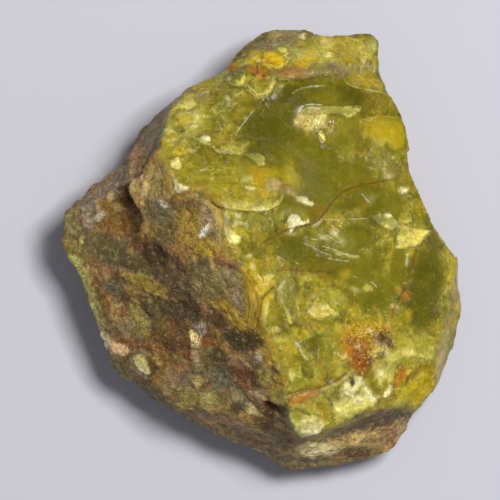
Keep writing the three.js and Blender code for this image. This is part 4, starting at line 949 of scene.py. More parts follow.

# %% [markdown]
# ## Ledges and veins
#
# A flake that came off leaves a thin ledge: the stone stands higher on one side of a line and falls
# back to its old level within a few millimetres. Walking a ledge from its first place to its last,
# the high side is on the left. A vein is the opposite of a ledge, a shallow groove filled with brown.
# Scratches are pale hairlines where the break fanned out, and a few of them are glints, painted
# highlights. Bands are the fine dark lines of the swirl by the crest. Both are colour alone.
#
# The net is too coarse to paint a hair-thin line on its points. So each point near a line keeps three
# numbers: its signed distance from the line, how near it is, and how strong the line is there. The
# distance runs through zero across the line, and the material can cut any width out of it sharply.

# %% Ledges
LEDGES = {  # name: (height in mm, places)
    "plate front": (0.6, [(-11, 10.5), (-9, 8.9), (-7, 7.8), (-4.5, 7.6), (-2, 7.3), (0, 7.3), (1.7, 7.8),
        (3, 8.8), (4, 10.5)]),
    "plate left": (0.3, [(-14, 22), (-15.5, 21), (-17, 19), (-17.8, 17)]),
    "upper lip": (0.5, [(-14, 22), (-12, 20.7), (-9.7, 19.8), (-8.3, 18.7), (-6, 18.4), (-4, 18.4),
        (-3.3, 19.6), (-2, 21)]),
    "small scale": (0.35, [(-7.2, 32.8), (-6, 31.9), (-4.5, 31.4), (-3.7, 31.3)]),
    "big scale": (0.5, [(-3.9, 31.8), (-2.4, 30.3), (-1, 29.2), (0.2, 29.2), (1.4, 30), (2.3, 31.5),
        (2.4, 33)]),
    "band foot": (0.35, [(2.5, 32.6), (6, 32.7), (9, 32.8), (12, 33.3), (14, 33), (15.5, 32.7)]),
    "wedge foot": (0.35, [(15.5, 33), (16.5, 31.8), (18.5, 31), (21, 30.6), (24, 30)]),
    "hollow arc": (0.2, [(12.5, 31.5), (9.5, 31.3), (7.5, 30.9), (6.5, 30)]),
    "grey flake": (0.25, [(15.2, 25.2), (17, 25.6), (18.5, 26.5), (18.9, 27.2), (18.5, 27.6), (15.5, 27.4),
        (12, 27.4), (9.5, 27.7), (8, 27.3), (7, 26.5)]),
    "crescent": (0.12, [(10.8, 19.8), (12, 19.4), (13.4, 19.2), (14.7, 19.6), (15.8, 20)]),
    "yellow face top": (0.2, [(26.5, 25.4), (23.5, 25.7), (20.5, 25.3), (18.3, 24.7)]),
    "yellow face foot": (0.2, [(21.2, 20.3), (23.3, 20.8), (25, 19.6), (27.3, 18.8)]),
    "pale flake": (0.35, [(26, 4), (26, 5.3), (25, 6), (24.5, 6.9), (21.3, 6.5)]),
    "wedge top": (0.35, [(32.8, 3.5), (30, 3.8), (28, 4.4), (26, 5.2)]),
    "wedge base": (0.35, [(25.8, 0.2), (28.5, 0.6), (30.2, 1.1), (31.3, 2.4), (32.7, 3.3)]),
    "fin right": (0.22, [(8.8, -21), (8.8, -19.8), (8, -17.3), (8.8, -16.2), (7.5, -14), (7, -11.5),
        (6.2, -9), (6.1, -6.5), (4.8, -4.5)]),
    "fin left": (0.22, [(3.8, -5.5), (3.3, -7.5), (3.3, -10), (4, -12.5), (5, -15), (6.2, -17.3),
        (8, -20.8)]),
    "lime blob": (0.3, [(8.6, -12.3), (10, -13.1), (11.3, -13.3), (13, -12.8), (14.9, -13)]),
    "crest foot": (0.15, [(3, -20), (2, -17.5), (0.8, -15), (0.1, -12), (0, -9.5)]),
    "tongue": (0.3, [(1.4, 17.9), (-0.7, 18.4), (-2.6, 18.3), (-3.5, 18)]),
    "step edge": (0.12, [(17.6, -22.8), (15, -25), (13, -26), (11, -26.8), (8.5, -27), (5, -28)]),
    "front facet": (0.3, [(5.2, -28.5), (5.4, -31), (6.5, -33.7), (8, -35.5)]),
}
VEINS = {  # name: (half width in mm, places)
    "long vein": (0.3, [(28.5, 14.8), (26, 13.8), (23.5, 13.3), (20, 12.6), (17.5, 12), (16.2, 11.4),
        (15, 10.8), (13.8, 9.5), (12.8, 8.3), (11.5, 6.5), (9.8, 5), (7.5, 4.6), (5.3, 4), (3, 2.9),
        (1.3, 2), (-0.5, 1), (-2.5, -0.3), (-4.5, -2)]),
    "right vein": (0.22, [(32.8, 3.3), (31.3, 2), (30.2, 0.7), (29.4, -1), (28.8, -3), (28, -5.2),
        (27.3, -7), (26.7, -9), (25.4, -11), (24.8, -13.2), (24, -15)]),
    "front crack": (0.28, [(4.6, -27.6), (8.5, -26.5), (11, -26.2), (13, -25.4), (15, -24.4), (16.7, -23.2),
        (17.6, -22.2)]),
    "brown seam": (0.2, [(-1, -3.7), (1.5, -3.9), (5, -3.7), (9, -4), (14, -4.2)]),
    "cleft": (0.22, [(27.3, -26), (28.3, -24.3), (29.8, -23), (31.5, -22.3)]),
    "knob crack": (0.3, [(-25.6, 12.3), (-25.2, 11), (-24.6, 9.7), (-24, 8.4), (-23.6, 7), (-23.2, 5.2)]),
    "crest seam": (0.16, [(0, -8), (-0.3, -10.5), (-0.7, -13), (-1.2, -15.5)]),
    "shoulder crack": (0.25, [(-20.2, 20.6), (-21, 19), (-21.9, 17.5), (-22.6, 16), (-23.1, 14.8),
        (-24.2, 13.8), (-25.2, 13)]),
    "step crack": (0.2, [(-4.2, -26.8), (-3, -28), (-1.8, -29), (-0.8, -30.3), (0.3, -31.6), (1.5, -32.2)]),
}
SCRATCHES = [
    # upper left
    [(1.8, 30), (0, 28.5), (-1.5, 26.8), (-3.3, 24.5), (-4.7, 22.5), (-5.7, 20.5)],
    [(-5, 29.4), (-4.2, 30), (-3.5, 30.6)],
    # the fan under the long vein
    [(10.2, 1), (12, 0.6), (14, 0), (16, -0.8), (18.3, -1.4)], [(13.4, 3.9), (14.7, 2.6), (16, 1)],
    [(10.6, 3.2), (11.6, 2.4), (12.9, 1.2)], [(10, -0.9), (12.5, -1.6), (15, -2), (17.2, -2.1)],
    [(14, 3.5), (15.3, 3), (16.4, 2.3)], [(7.5, 2.6), (9.2, 2.2), (10.8, 1.9)],
    [(2.5, -1), (3.8, -1.8), (5.2, -2.5)], [(4.8, -1.3), (6, -2.1), (7.2, -2.8)],
    [(12.4, 2.9), (13.8, 1.9), (15.4, 1.2)], [(13.2, 4.8), (14.4, 4), (15.2, 3.2)],
    [(9.4, 0.6), (11, -0.2), (12.8, -0.9), (14.4, -1.4)], [(7.2, 1.7), (8.6, 1), (10.2, 0.6)],
    # single strokes, and glints that are painted highlights
    [(4.5, 29.5), (5.9, 30), (7, 30.9)], [(10.5, 20.3), (11.8, 20), (13.2, 19.3)],
    [(15.2, -7.3), (16.6, -7.9), (18, -8.8)], [(22.3, 16.7), (23.4, 15.3), (24.2, 14.2)],
    [(6.4, 9.9), (8.2, 9.3), (9.8, 8.9), (11, 8.5)], [(19, 10.9), (19.9, 9.9), (20.8, 8.8)],
    [(16.3, -4.5), (17.3, -4.9), (18.3, -5.4)], [(15.8, -6.6), (17.3, -7.2), (18.9, -8.1)],
    [(20.7, -6), (21.4, -6.5), (22.1, -7.2)], [(11.5, 5.8), (16, 5.9), (20.5, 6.1)],
    [(-12, 29.3), (-11.3, 30.2), (-10, 30.3)], [(-10, 26.3), (-9, 27.4), (-8, 27.8)],
    [(6.2, -17.3), (7.3, -19.2), (8.4, -21.1)],
]
BANDS = {
    "outer left": [(-8, -9.6), (-6.6, -10.9), (-5.7, -12.6), (-4.6, -14.1), (-3.2, -15.2), (-1.9, -15.6)],
    "inner left": [(-6, -11.2), (-5.2, -12.4), (-4.2, -13.6), (-3, -14.4)],
    "inner right": [(-2.9, -7.6), (-2.4, -9.5), (-2.3, -11.5), (-2.8, -13.4), (-3.4, -14.4)],
    "outer right": [(-1.2, -8.2), (-0.9, -10), (-1.2, -12), (-1.8, -13.8), (-2.6, -15.1)],
    "far right": [(-0.3, -9.6), (-0.3, -11.5), (-0.7, -13.5), (-1.3, -15.5)],
    "left of the gold": [(-3.6, -4), (-2.9, -5.2), (-2, -6.4), (-1, -7)],
    "in the gold": [(-2.9, -3.8), (-2.1, -5.2), (-1.3, -6.2), (-0.4, -6.5)],
    "curl": [(2.5, -6.6), (1.6, -7.6), (0.6, -8.5), (-0.1, -9.9)],
    "small curl": [(-0.6, -4.3), (0.1, -5.2), (0.3, -6.3)],
}
LEDGE_REACH = 3.0  # mm
VEIN_REACH = 1.5
BACK_CUT = 0.35  # how much lower the low side is cut, as a share of the height
GROOVE = 0.55  # depth of a vein's groove, as a share of its width

for height, places in LEDGES.values():
    near, left, along = beside(places, LEDGE_REACH)
    high_side = fade(left, 0.15, -0.12) * fade(left, 0.3, LEDGE_REACH)
    low_side = fade(left, -0.15, 0.12) * fade(left, -0.3, -LEDGE_REACH / 2)
    relief[near] += height * taper(along, 0.22, 0.85) * (high_side - BACK_CUT * low_side)
for width, places in VEINS.values():
    near, left, along = beside(places, VEIN_REACH)
    relief[near] -= GROOVE * width * taper(along, 0.1, 0.9) * fade(abs(left), 0, 2.2 * width)
print(f"{len(LEDGES)} ledges, {len(VEINS)} veins, {len(SCRATCHES)} scratches, {len(BANDS)} bands")

# %% Lines kept on the points
LINE_REACH = 0.9  # mm
FULL_VEIN = 0.3  # half width of a vein at full strength
FLAT_LEDGE, CLEAR_LEDGE = 0.1, 0.4  # mm: the painted highlight on a ledge's lip grows between these heights
ITS_VALUE = {"FLOAT": "value", "FLOAT_VECTOR": "vector", "FLOAT_COLOR": "color"}


def keep(mesh, name, kind, rows):
    """Store a number, a vector or a colour for each point of a mesh."""
    layer = mesh.attributes.new(name, kind, "POINT")
    layer.data.foreach_set(ITS_VALUE[kind], np.ascontiguousarray(rows, np.float32).ravel())


def keep_lines(name, family):
    """For each point: signed distance from the nearest line of a family, nearness and strength."""
    rows = np.tile((LINE_REACH, 0.0, 0.0), (len(at), 1))
    for strength, places in family:
        near, left, along = beside(places, LINE_REACH)
        closer = abs(left) < abs(rows[near, 0])
        near, left, along = near[closer], left[closer], along[closer]
        nearness = fade(abs(left), LINE_REACH / 2, LINE_REACH)
        rows[near] = np.column_stack([left, nearness, strength * taper(along, 0.15, 0.8)])
    keep(skin.data, name, "FLOAT_VECTOR", rows)
    print(f"{name}: {np.count_nonzero(rows[:, 2])} points")


def lip_highlight_strength(height):
    """How strongly the painted highlight along the lip of a ledge shows."""
    return min(1, (height - FLAT_LEDGE) / (CLEAR_LEDGE - FLAT_LEDGE))


keep_lines("veins", [(width / FULL_VEIN, places) for width, places in VEINS.values()])
keep_lines("lip_highlights", [(lip_highlight_strength(height), places) for height, places in LEDGES.values()])
keep_lines("scratches", [(1, places) for places in SCRATCHES])
keep_lines("bands", [(1, places) for places in BANDS.values()])

# %% Move the points
def to_metres(rows):
    """Places in millimetres from the middle of the stone, as places in the scene."""
    return rows * MM + np.array(CENTRE)


grounded = relief * fade(at[:, 2], FLOOR_FADE, 0)
moved = at + facing * grounded[:, None]
moved[:, 2] = np.maximum(moved[:, 2], 0)
skin.data.vertices.foreach_set("co", to_metres(moved).astype(np.float32).ravel())
skin.data.update()
facing = rows_of(skin.data, "vertex_normals", "vector")
print(f"skin moved by up to {abs(grounded).max():.2f} mm")

# %% [markdown]
# ## Stains
# Some dabs and shards are painted shade and painted light: shade in hollows, cracks and beside ledges and the
# knob, glints, and lighter patches on the flank.
#
# The colour of rough opal is cloudy: iron stains, pale veils and clear green wax lie side by side,
# with soft wandering borders. A painter would dab it on. So do these cells: a small palette, and a
# list of dabs, each an oval with a place, two half lengths, a turn and a strength. Noise pushes the
# ovals out of shape before they land on the points, and more noise is mixed in between.
#
# The rind flank lies in half shade. Its true colours are lighter than they look there, so its stain is
# mixed lighter by a fixed amount. The fresh break leans into the lamp, so its stain is mixed darker.

# %% Palette
PALETTE = {
    "olive": (116, 112, 22), "green": (134, 127, 24), "leaf": (160, 150, 40),
    "sage": (148, 143, 66), "ochre green": (148, 128, 32), "ochre": (168, 145, 36),
    "lemon": (198, 176, 22), "lime": (172, 162, 60), "pear": (198, 190, 106),
    "amber": (180, 146, 10), "chalk": (228, 224, 198), "cream": (216, 200, 136),
    "tan": (178, 151, 90), "orange": (172, 118, 38), "rust": (140, 80, 34), "brown": (104, 80, 28),
    "slate": (90, 82, 64), "dusty pink": (178, 142, 92), "dust": (150, 118, 76),
    "dark red": (96, 60, 34), "bright rust": (178, 98, 18),
    "mouse": (128, 105, 80), "oat": (150, 130, 92), "slate brown": (102, 86, 64),
    "umber": (84, 62, 30), "coffee": (60, 41, 17), "fawn": (160, 118, 62),
    "toffee": (134, 104, 48), "lichen": (110, 100, 66), "khaki": (118, 106, 60),
    "moss": (86, 76, 30), "dark moss": (64, 53, 22), "hemp": (126, 110, 56),
    "teal": (96, 90, 64), "brick": (140, 100, 60), "peach": (202, 166, 124),
    "mud": (110, 94, 66), "beige": (182, 160, 114), "straw": (216, 202, 112),
    "celery": (172, 170, 98), "bright lemon": (222, 208, 58), "deep amber": (206, 172, 6),
    "mustard": (162, 140, 12), "flame": (188, 122, 34),
    # crevice shade: painted shade for sunken cracks and hollows
    "sugar": (214, 208, 142), "crevice shade": (92, 84, 38), "gold": (198, 168, 24),
    "honey": (168, 122, 30), "amber brown": (120, 84, 26), "dark choc": (56, 38, 18),
    "dark grey": (70, 60, 44), "bark": (78, 68, 40), "dark rust": (104, 58, 26),
    "pebble": (150, 134, 118), "honey brown": (120, 86, 36), "knob gold": (170, 140, 84),
    "ledge grey": (84, 72, 50), "lilac slate": (112, 98, 82), "brass": (150, 122, 42),
    "olive lemon": (138, 126, 58), "clay": (118, 78, 42), "shoulder brown": (128, 102, 68),
}
RIND_LIFT = 1.52
FRESH_LIFT = np.array((0.83, 0.81, 0.63))


def paint(name):
    """A palette colour as the linear light that Blender mixes in."""
    share = np.array(PALETTE[name]) / 255
    return np.where(share <= 0.04045, share / 12.92, ((share + 0.055) / 1.055) ** 2.4)


def lay(stain, name, share):
    """Mix a palette colour into the stain by a share for each point."""
    return stain + (paint(name) - stain) * np.clip(share, 0, 1)[:, None]


# %% Ground colours
fresh_stain = np.tile(paint("green"), (len(at), 1))
fresh_stain = lay(fresh_stain, "leaf", fade(bumps(at, 7, 3), 0.35, -0.2) * (1 - 0.8 * smooth))
fresh_stain = lay(fresh_stain, "ochre", fade(bumps(at + 30, 5, 3), 0.7, 0.15) * (1 - smooth))
fresh_stain = lay(fresh_stain, "lime", fade(bumps(at + 60, 2.5, 3), 0.6, 0.1) * (1 - smooth) * 0.8)
rind_stain = np.tile(paint("toffee"), (len(at), 1))
rind_stain = lay(rind_stain, "umber", fade(bumps(at, 4, 3), 0.4, -0.3))
rind_stain = lay(rind_stain, "lichen", fade(bumps(at + 30, 6, 2), 0.4, -0.1) * 0.9)
rind_stain = lay(rind_stain, "clay", fade(bumps(at + 60, 3, 3), 0.6, 0.2) * 0.6)
rind_stain = lay(rind_stain, "tan", fade(bumps(at + 90, 2.2, 2), 0.7, 0.3) * 0.5)
print(f"{len(PALETTE)} colours")

# %% Dabs
FRESH_DABS = [  # colour, x, y, half length, half width, turn, strength
    # great face
    # the olive dabs at (7.5, 30) and (17, 29.5) are painted shade, in the hollow under the band and below the
    # wedge
    ("olive", 2, 25, 8, 5, 50, 0.9), ("olive", 7.5, 30, 6, 2, 5, 0.8),
    ("olive", 17, 29.5, 3.5, 1.5, -20, 0.9), ("green", 11, 14, 7, 4, 0, 0.7),
    ("leaf", 5.5, 13.5, 1.5, 4, 10, 0.7), ("ochre green", 23.5, 28, 4.5, 2, -15, 0.6),
    ("ochre", 23.5, 23, 4, 2.5, -20, 0.9), ("sage", 23.5, 17, 3, 2, -35, 0.8),
    ("sage", -7.5, 26, 2, 4, -25, 0.8), ("olive", 27.5, 13, 2, 4.5, 15, 0.45),
    # upper left, plate and far band
    ("leaf", -12.5, 25.5, 6, 5.5, 0, 0.85), ("straw", -14, 25, 3, 6, -30, 0.3),
    ("leaf", -7.5, 13, 8, 5, -25, 0.85), ("straw", -3, 8, 6, 2, 0, 0.3), ("leaf", 13, 37.5, 9, 2.5, 5, 0.9),
    ("straw", 12, 38, 10, 2.5, 5, 0.35), ("ochre", 17, 38, 4, 2, 0, 0.6),
    ("ochre", 20, 32.5, 4, 1.5, -15, 0.8),
    # drusy patch and middle
    ("leaf", 13, 24, 6.5, 3, 0, 0.6), ("cream", 9.5, 25, 3.5, 2, 10, 0.8),
    ("sage", 0, 5.5, 4.5, 1.5, 5, 0.75), ("olive", 7.5, 0, 5, 2, -10, 0.4),
    ("sage", 14.5, 1.5, 4, 2.5, -25, 0.45), ("olive", 19, 7, 5, 3.5, -30, 0.5),
    ("leaf", 11.5, -10, 4, 2.5, 0, 0.7),
    # crest foot
    ("lemon", -2, -6.5, 2, 4, 10, 0.85), ("lime", 1, -10.5, 2, 4.5, 10, 0.8),
    ("sage", 5, -9.5, 2, 4.5, 10, 0.85), ("lime", 4, -18.5, 2.5, 2.5, 0, 0.7),
    ("olive", 11, -18.5, 3, 3, 0, 0.5), ("lime", 14, -16.5, 2.5, 3, 0, 0.45),
    # rust pocket and right side
    ("ochre", 20.5, -17.5, 5, 4, 0, 0.8), ("flame", 18, -18, 3, 4.3, 0, 0.9),
    ("flame", 22, -15.5, 3, 2, 20, 0.5), ("bright lemon", 20, -15.5, 4, 3, 0, 0.35),
    ("lime", 29, -18.5, 4.5, 3, 0, 0.8), ("lime", 24, -22.5, 2.5, 2.5, 0, 0.75),
    ("ochre", 31, -26.5, 2.5, 3.5, -10, 0.75), ("gold", 30, -23, 4, 4, 0, 0.35),
    ("olive", 31.5, -7.5, 3.5, 7.5, -10, 0.75),
    # front step
    ("leaf", 9.5, -31.5, 4, 3.5, 0, 0.9), ("sugar", 8.5, -30, 6, 3.5, 0, 0.35),
    ("lime", 19, -30, 3.5, 1, 0, 0.6),
]
RIND_DABS = [
    # left shoulder and knob
    ("mouse", -28, 14, 9.5, 2.5, 43, 0.9), ("slate brown", -20.5, 23.5, 3.5, 1.5, 60, 0.6),
    ("tan", -24, 16.5, 2.5, 1.3, 65, 0.7), ("tan", -19.5, 14, 2, 3, -20, 0.6),
    # the coffee dab left of the knob is the knob's painted shadow
    ("sage", -18, 20, 1.2, 3.5, -8, 0.7), ("coffee", -26, 10, 1.3, 2.3, 15, 0.8),
    # rind far
    ("toffee", -27.5, 6, 4.3, 2.5, -10, 0.85), ("clay", -28.5, 3.5, 3.5, 1, -12, 0.6),
    ("lichen", -37, 5, 1.8, 3, 0, 0.8), ("khaki", -19, 7, 3.2, 3, 0, 0.85),
    ("brass", -14, 4, 2.2, 4.5, 0, 0.75), ("oat", -10, 6.5, 2.2, 3, 0, 0.75),
    ("fawn", -18.5, 12, 2.5, 1.3, 0, 0.5),
    # rind middle
    ("coffee", -20.5, -1.5, 3.3, 3.3, 0, 0.9), ("clay", -24.5, 0.5, 2.2, 1.8, 0, 0.55),
    ("toffee", -14.5, 0, 4, 1.3, -5, 0.85), ("amber", -9.5, 0, 3, 1.5, -20, 0.75),
    ("orange", -6.5, -2.2, 2, 0.9, -15, 0.7), ("khaki", -29.5, 0, 4.5, 2.8, -15, 0.8),
    ("moss", -25, -3, 3, 1.3, -5, 0.7), ("hemp", -34.5, -1, 3, 1.2, -55, 0.7),
    ("umber", -15, -4.5, 4.5, 2.8, 0, 0.7), ("khaki", -9, -6.5, 3.7, 2.7, 0, 0.75),
    ("teal", -28.5, -6.8, 2.2, 1.4, -10, 0.75), ("moss", -21, -11.5, 3, 4, 0, 0.85),
    ("coffee", -14.5, -11.8, 4.5, 2.3, 0, 0.75), ("hemp", -23.5, -14, 2.3, 2.7, 20, 0.7),
    ("mouse", -27, -14.5, 2.2, 1.8, 0, 0.5),
    # swirl
    ("toffee", -4.5, -11, 3.5, 5, 8, 0.9), ("oat", -4.8, -9, 1.3, 2.5, 5, 0.8),
    ("dark moss", -4, -17, 4, 2, 0, 0.95), ("khaki", -6, -6, 2.5, 2, 0, 0.5),
    # rind near
    ("umber", -17, -16.5, 4.5, 2.7, 0, 0.65), ("clay", -23.5, -18.2, 5.5, 0.9, -8, 0.7),
    ("peach", -27.5, -19, 2, 1.1, -15, 0.6), ("hemp", -33.2, -9, 6, 0.9, -68, 0.7),
    ("fawn", -3, -20.5, 3, 1.3, 0, 0.5), ("dark red", -3.3, -24.6, 2.6, 2, -15, 0.95),
    ("teal", -8, -24.5, 2.3, 2.2, 0, 0.9), ("sage", 0.5, -24, 1.5, 2, 0, 0.6),
    ("brick", -15, -22, 1.9, 1, 0, 0.7), ("mouse", -16.5, -24.5, 2.5, 1.8, 0, 0.6),
    ("moss", -8.7, -20.3, 1.8, 1.8, 0, 0.7), ("tan", -12.4, -25.2, 0.8, 1.3, 0, 0.6),
    ("hemp", -15, -29, 2, 2.5, 0, 0.8), ("olive lemon", -10.3, -29, 2, 2.2, 0, 0.7),
    ("hemp", -7.3, -29.3, 1.8, 2, 0, 0.6), ("tan", -2, -30.7, 1.2, 1.3, -35, 0.7),
    ("coffee", 1.7, -30.4, 1.5, 1.4, -20, 0.85), ("lichen", -27, -23.7, 4, 1.3, -45, 0.8),
    # front and shelf
    ("mud", -5, -36, 13, 3.2, -25, 0.9), ("dust", -8.5, -32.8, 4.5, 1, -8, 0.7),
    ("umber", 0.3, -33.5, 2, 0.9, -30, 0.7), ("lichen", 3, -40, 4, 1.2, -25, 0.7),
    ("slate brown", 19, -33.5, 10.5, 1.5, 12, 0.95), ("coffee", 20, -34, 5, 0.8, 8, 0.8),
    ("mud", 12.5, -35.5, 4.5, 0.8, 8, 0.8), ("tan", 18, -36.7, 8, 2.2, 8, 0.9),
    ("cream", 11, -38.3, 3.5, 1.3, 0, 0.9), ("dust", 24.5, -35.8, 2.5, 1.8, 15, 0.8),
    ("lichen", 11, -41, 5, 0.9, 3, 0.85), ("umber", 18.5, -39.3, 3, 1, 0, 0.75),
    # right edge and cap
    ("beige", 36.5, -16, 2, 12, -5, 0.95), ("lemon", 36.4, -4.5, 0.8, 3.5, -4, 0.85),
    ("cream", 37.6, -9, 0.5, 4, 0, 0.5), ("khaki", 37, -17, 0.8, 3, 10, 0.5),
    ("beige", 3.5, 40.5, 6, 1.5, 12, 0.95), ("umber", -4, 37.5, 3.7, 0.8, 40, 0.8),
    # painted shade (bark, coffee) and painted light (tan, beige), wide and weak
    ("bark", -34, 4, 5, 7, 0, 0.3), ("bark", -22, -4, 4, 4, 0, 0.3), ("coffee", -8, -20, 3, 6, 0, 0.25),
    ("tan", -21, 12, 4, 8, -45, 0.35), ("beige", -6, -1.5, 3, 6, 15, 0.45),
    ("tan", -15, 18, 2.5, 6, -40, 0.35),
]
SMALL_DAB = 1.2  # mm: the noise pushes smaller dabs less
edge_wander = FRAY * 0.55
ragged = 0.3 * bumps(at + 77, 0.9, 2)
seen_from_above = fade(facing[:, 2], 0.25, -0.1)


def dab_on(stain, dabs):
    """Lay every dab of a list over the stain, in order."""
    for name, x, y, half_length, half_width, turn, strength in dabs:
        room = min(1, min(half_length, half_width) / SMALL_DAB)
        oval = blob(x, y, half_length, half_width, turn, shift=edge_wander * room) + ragged
        stain = lay(stain, name, strength * fade(oval, 0.55, 1.35) * seen_from_above)
    return stain


PUNCH = 0.62  # opal is deep and clear, so its tones stand further apart than paint's
RIM = 0.4  # mm of a proud shard's edge that light shines through
LEAST_PROUD, FULLY_PROUD = 0.04, 0.25  # mm: a rim's painted light and a foot's painted shade show from the first, in full at the second
patchy = bumps(at + 21, 2.6, 2)
mottled = fade(bumps(at + 33, 0.9, 3), -0.75, 0.05)  # broken opal never covers quite evenly


def shards_on(stain, family):
    """Colour every shard of a family; round each proud fresh shard, paint shade at its foot and light along
    its rim.
    """
    for colour, strength, lift, near, depth, down in SHARD_POINTS[family]:
        soft = SHARD_SOFT + (VEIL_SOFT - SHARD_SOFT) * veil(lift)
        inside = fade(depth, soft, -soft)
        if family == "rind":
            stain[near] = lay(stain[near], colour, strength * inside)
            continue
        covers = (0.55 + 0.45 * fade(down, 0.5, -1)) * (0.8 + 0.2 * mottled[near])
        stain[near] = lay(stain[near], colour, strength * inside * covers)
        if lift > LEAST_PROUD:  # painted shade as a dark foot round it, and painted light as a pale rim along its lower edge
            proud = min(1, lift / FULLY_PROUD)
            foot = fade(depth, -0.1, -0.6) * (depth < 0)
            stain[near] = lay(stain[near], "olive", 0.5 * proud * foot)
            painted_rim_light = inside * fade(depth, RIM / 2, RIM * 1.5)
            painted_rim_light *= fade(patchy[near], 0.25, -0.3) * fade(down, 0.3, -0.5)
            stain[near] = lay(stain[near], "straw", 0.85 * proud * painted_rim_light)
    return stain


fresh_stain = shards_on(dab_on(fresh_stain, FRESH_DABS), "fresh")
rind_stain = shards_on(dab_on(rind_stain, RIND_DABS), "rind")
IRON_REACH = 2.4  # mm from the seam between break and rind, which iron has stained
IRON_MIDDLE, IRON_WHOLE, IRON_END = -4, 20, 24  # mm: along the seam it is whole, then fades out
along_seam = fade(abs(plan[:, 1] - IRON_MIDDLE), IRON_WHOLE, IRON_END)
iron = fade(off_edge, 0.2, IRON_REACH) * fade(patchy, 0.2, -0.5) * along_seam
fresh_stain = lay(fresh_stain, "honey", iron * 0.55)
rind_stain = lay(rind_stain, "gold", iron * 0.45)
tone = fresh_stain @ (0.3, 0.6, 0.1)
fresh_stain *= ((tone / tone[rind < 0.5].mean()) ** PUNCH)[:, None]
stain = fresh_stain * FRESH_LIFT * (1 - rind[:, None]) + rind_stain * RIND_LIFT * rind[:, None]
print(f"{len(FRESH_DABS) + len(RIND_DABS)} dabs")

# %% Keep the stain and the zones on the points
solid_stain = np.column_stack([stain, np.ones(len(at))])  # a kept colour has a fourth number, its alpha
keep(skin.data, "stain", "FLOAT_COLOR", solid_stain)
keep(skin.data, "rind", "FLOAT", rind)
keep(skin.data, "smooth", "FLOAT", smooth)
print(f"mean stain {stain.mean(0).round(3)}")

# %% [markdown]
# ## A small language for materials
#
# A material is a tree of nodes joined by links. Written node by node, even a short sum fills a page.
# The class below wraps an output socket, so that `1 - mask` or `grain * 0.4` adds the Math nodes for
# it. Colours go through Mix nodes instead, because a Math node turns a colour grey.

# %% Wires and trees
class Wire:
    """An output socket that works in sums like a number."""

    def __init__(self, tree, socket):
        self.tree, self.socket = tree, socket

    def math(self, operation, *values):
        return self.tree.add("ShaderNodeMath", {"operation": operation}, dict(enumerate(values)))

    def __add__(self, other):
        return self.math("ADD", self, other)

    def __sub__(self, other):
        return self.math("SUBTRACT", self, other)

    def __rsub__(self, other):
        return self.math("SUBTRACT", other, self)

    def __mul__(self, other):
        return self.math("MULTIPLY", self, other)

    def __abs__(self):
        return self.math("ABSOLUTE", self)

    def ramp(self, start, end):
        """0 below `start`, 1 above `end`, smooth between; the other way round if start is larger."""
        return self.tree.add("ShaderNodeMapRange", {"interpolation_type": "SMOOTHSTEP"},
                             {"Value": self, "From Min": start, "From Max": end})

    __radd__ = __add__


class Tree:
    """A node tree to which nodes are added with their settings first and their sockets after."""

    def __init__(self, tree):
        self.tree = tree
        tree.nodes.clear()

    def add(self, kind, settings=None, sockets=None, out=0):
        node = self.tree.nodes.new(kind)
        for name, value in (settings or {}).items():
            setattr(node, name, value)
        for key, value in (sockets or {}).items():
            if isinstance(value, Wire):
                self.tree.links.new(value.socket, node.inputs[key])
            else:
                node.inputs[key].default_value = value
        return Wire(self, node.outputs[out]) if node.outputs else node

    def mix(self, share, first, second, how="MIX"):
        """Two colours mixed by a share."""
        pair = [c if isinstance(c, Wire) else (*c, 1) for c in (first, second)]
        return self.add("ShaderNodeMix", {"data_type": "RGBA", "blend_type": how, "clamp_factor": True},
                        {0: share, 6: pair[0], 7: pair[1]}, out=2)

    def noise(self, place, size, detail=2.0, warp=0.0):
        """Noise with bumps of a size in millimetres; a warp draws them out into feathers."""
        return self.add("ShaderNodeTexNoise", {}, {
            "Vector": place, "Scale": 1 / (size * MM), "Detail": detail, "Distortion": warp})

    def chips(self, place, size, fray=0.4):
        """One tone for each chip of a size in millimetres, with noise in its outline."""
        push = self.add("ShaderNodeTexNoise", {}, {"Vector": place, "Scale": 2 / (size * MM)}, out=1)
        pushed = self.add("ShaderNodeVectorMath", {"operation": "MULTIPLY_ADD"}, {
            0: push, 1: (fray * size * MM,) * 3, 2: place})
        tones = self.add("ShaderNodeTexVoronoi", {}, {"Vector": pushed, "Scale": 1 / (size * MM)}, out=1)
        return self.add("ShaderNodeSeparateColor", {}, {0: tones})

    def shaded(self, colour, shade):
        """A colour made lighter or darker by a number."""
        grey = self.add("ShaderNodeCombineColor", {}, {0: shade, 1: shade, 2: shade})
        return self.mix(1.0, colour, grey, "MULTIPLY")

    def kept(self, name, out=0):
        """What is kept on the points under a name: 0 as a colour, 1 as a vector, 2 as a number."""
        return self.add("ShaderNodeAttribute", {"attribute_name": name}, out=out)

    def layered(self, colour, layers):
        """A colour with others laid over it, each a share, a palette name and how light it is mixed."""
        for share, name, lift in layers:
            colour = self.mix(share, colour, paint(name) * lift)
        return colour


def new_finish(name):
    """An empty material and its tree."""
    material = bpy.data.materials.new(name)
    material.use_nodes = True
    return material, Tree(material.node_tree)


# %% [markdown]
# ## Waxy opal and dull rind
#
# Two shaders share one material, mixed by the rind's share. Opal lets light in and scatters it just
# under its surface, which is what makes it look like wax: a little subsurface light does that. Its
# gloss is soft. Where it broke roughly, cells with frayed outlines give every chip and crumb a tone of
# its own. The rind is plain and dull, and its grains are the same cells made smaller. Over both go the
# lines kept on the points, cut to their widths.

# %% The stone's material
LINE_SOFT = 0.08  # mm


def line_mask(tree, name, half_width, wobble):
    """1 along the kept lines of a family, cut to a half width in millimetres, and 1 all round them."""
    kept = tree.kept(name, out=1)
    split = tree.tree.nodes.new("ShaderNodeSeparateXYZ")
    tree.tree.links.new(kept.socket, split.inputs[0])
    left, near, strength = (Wire(tree, socket) for socket in split.outputs)
    cut = (abs(left) + wobble).ramp(half_width + LINE_SOFT, half_width - LINE_SOFT)
    return cut * near * strength, near * strength


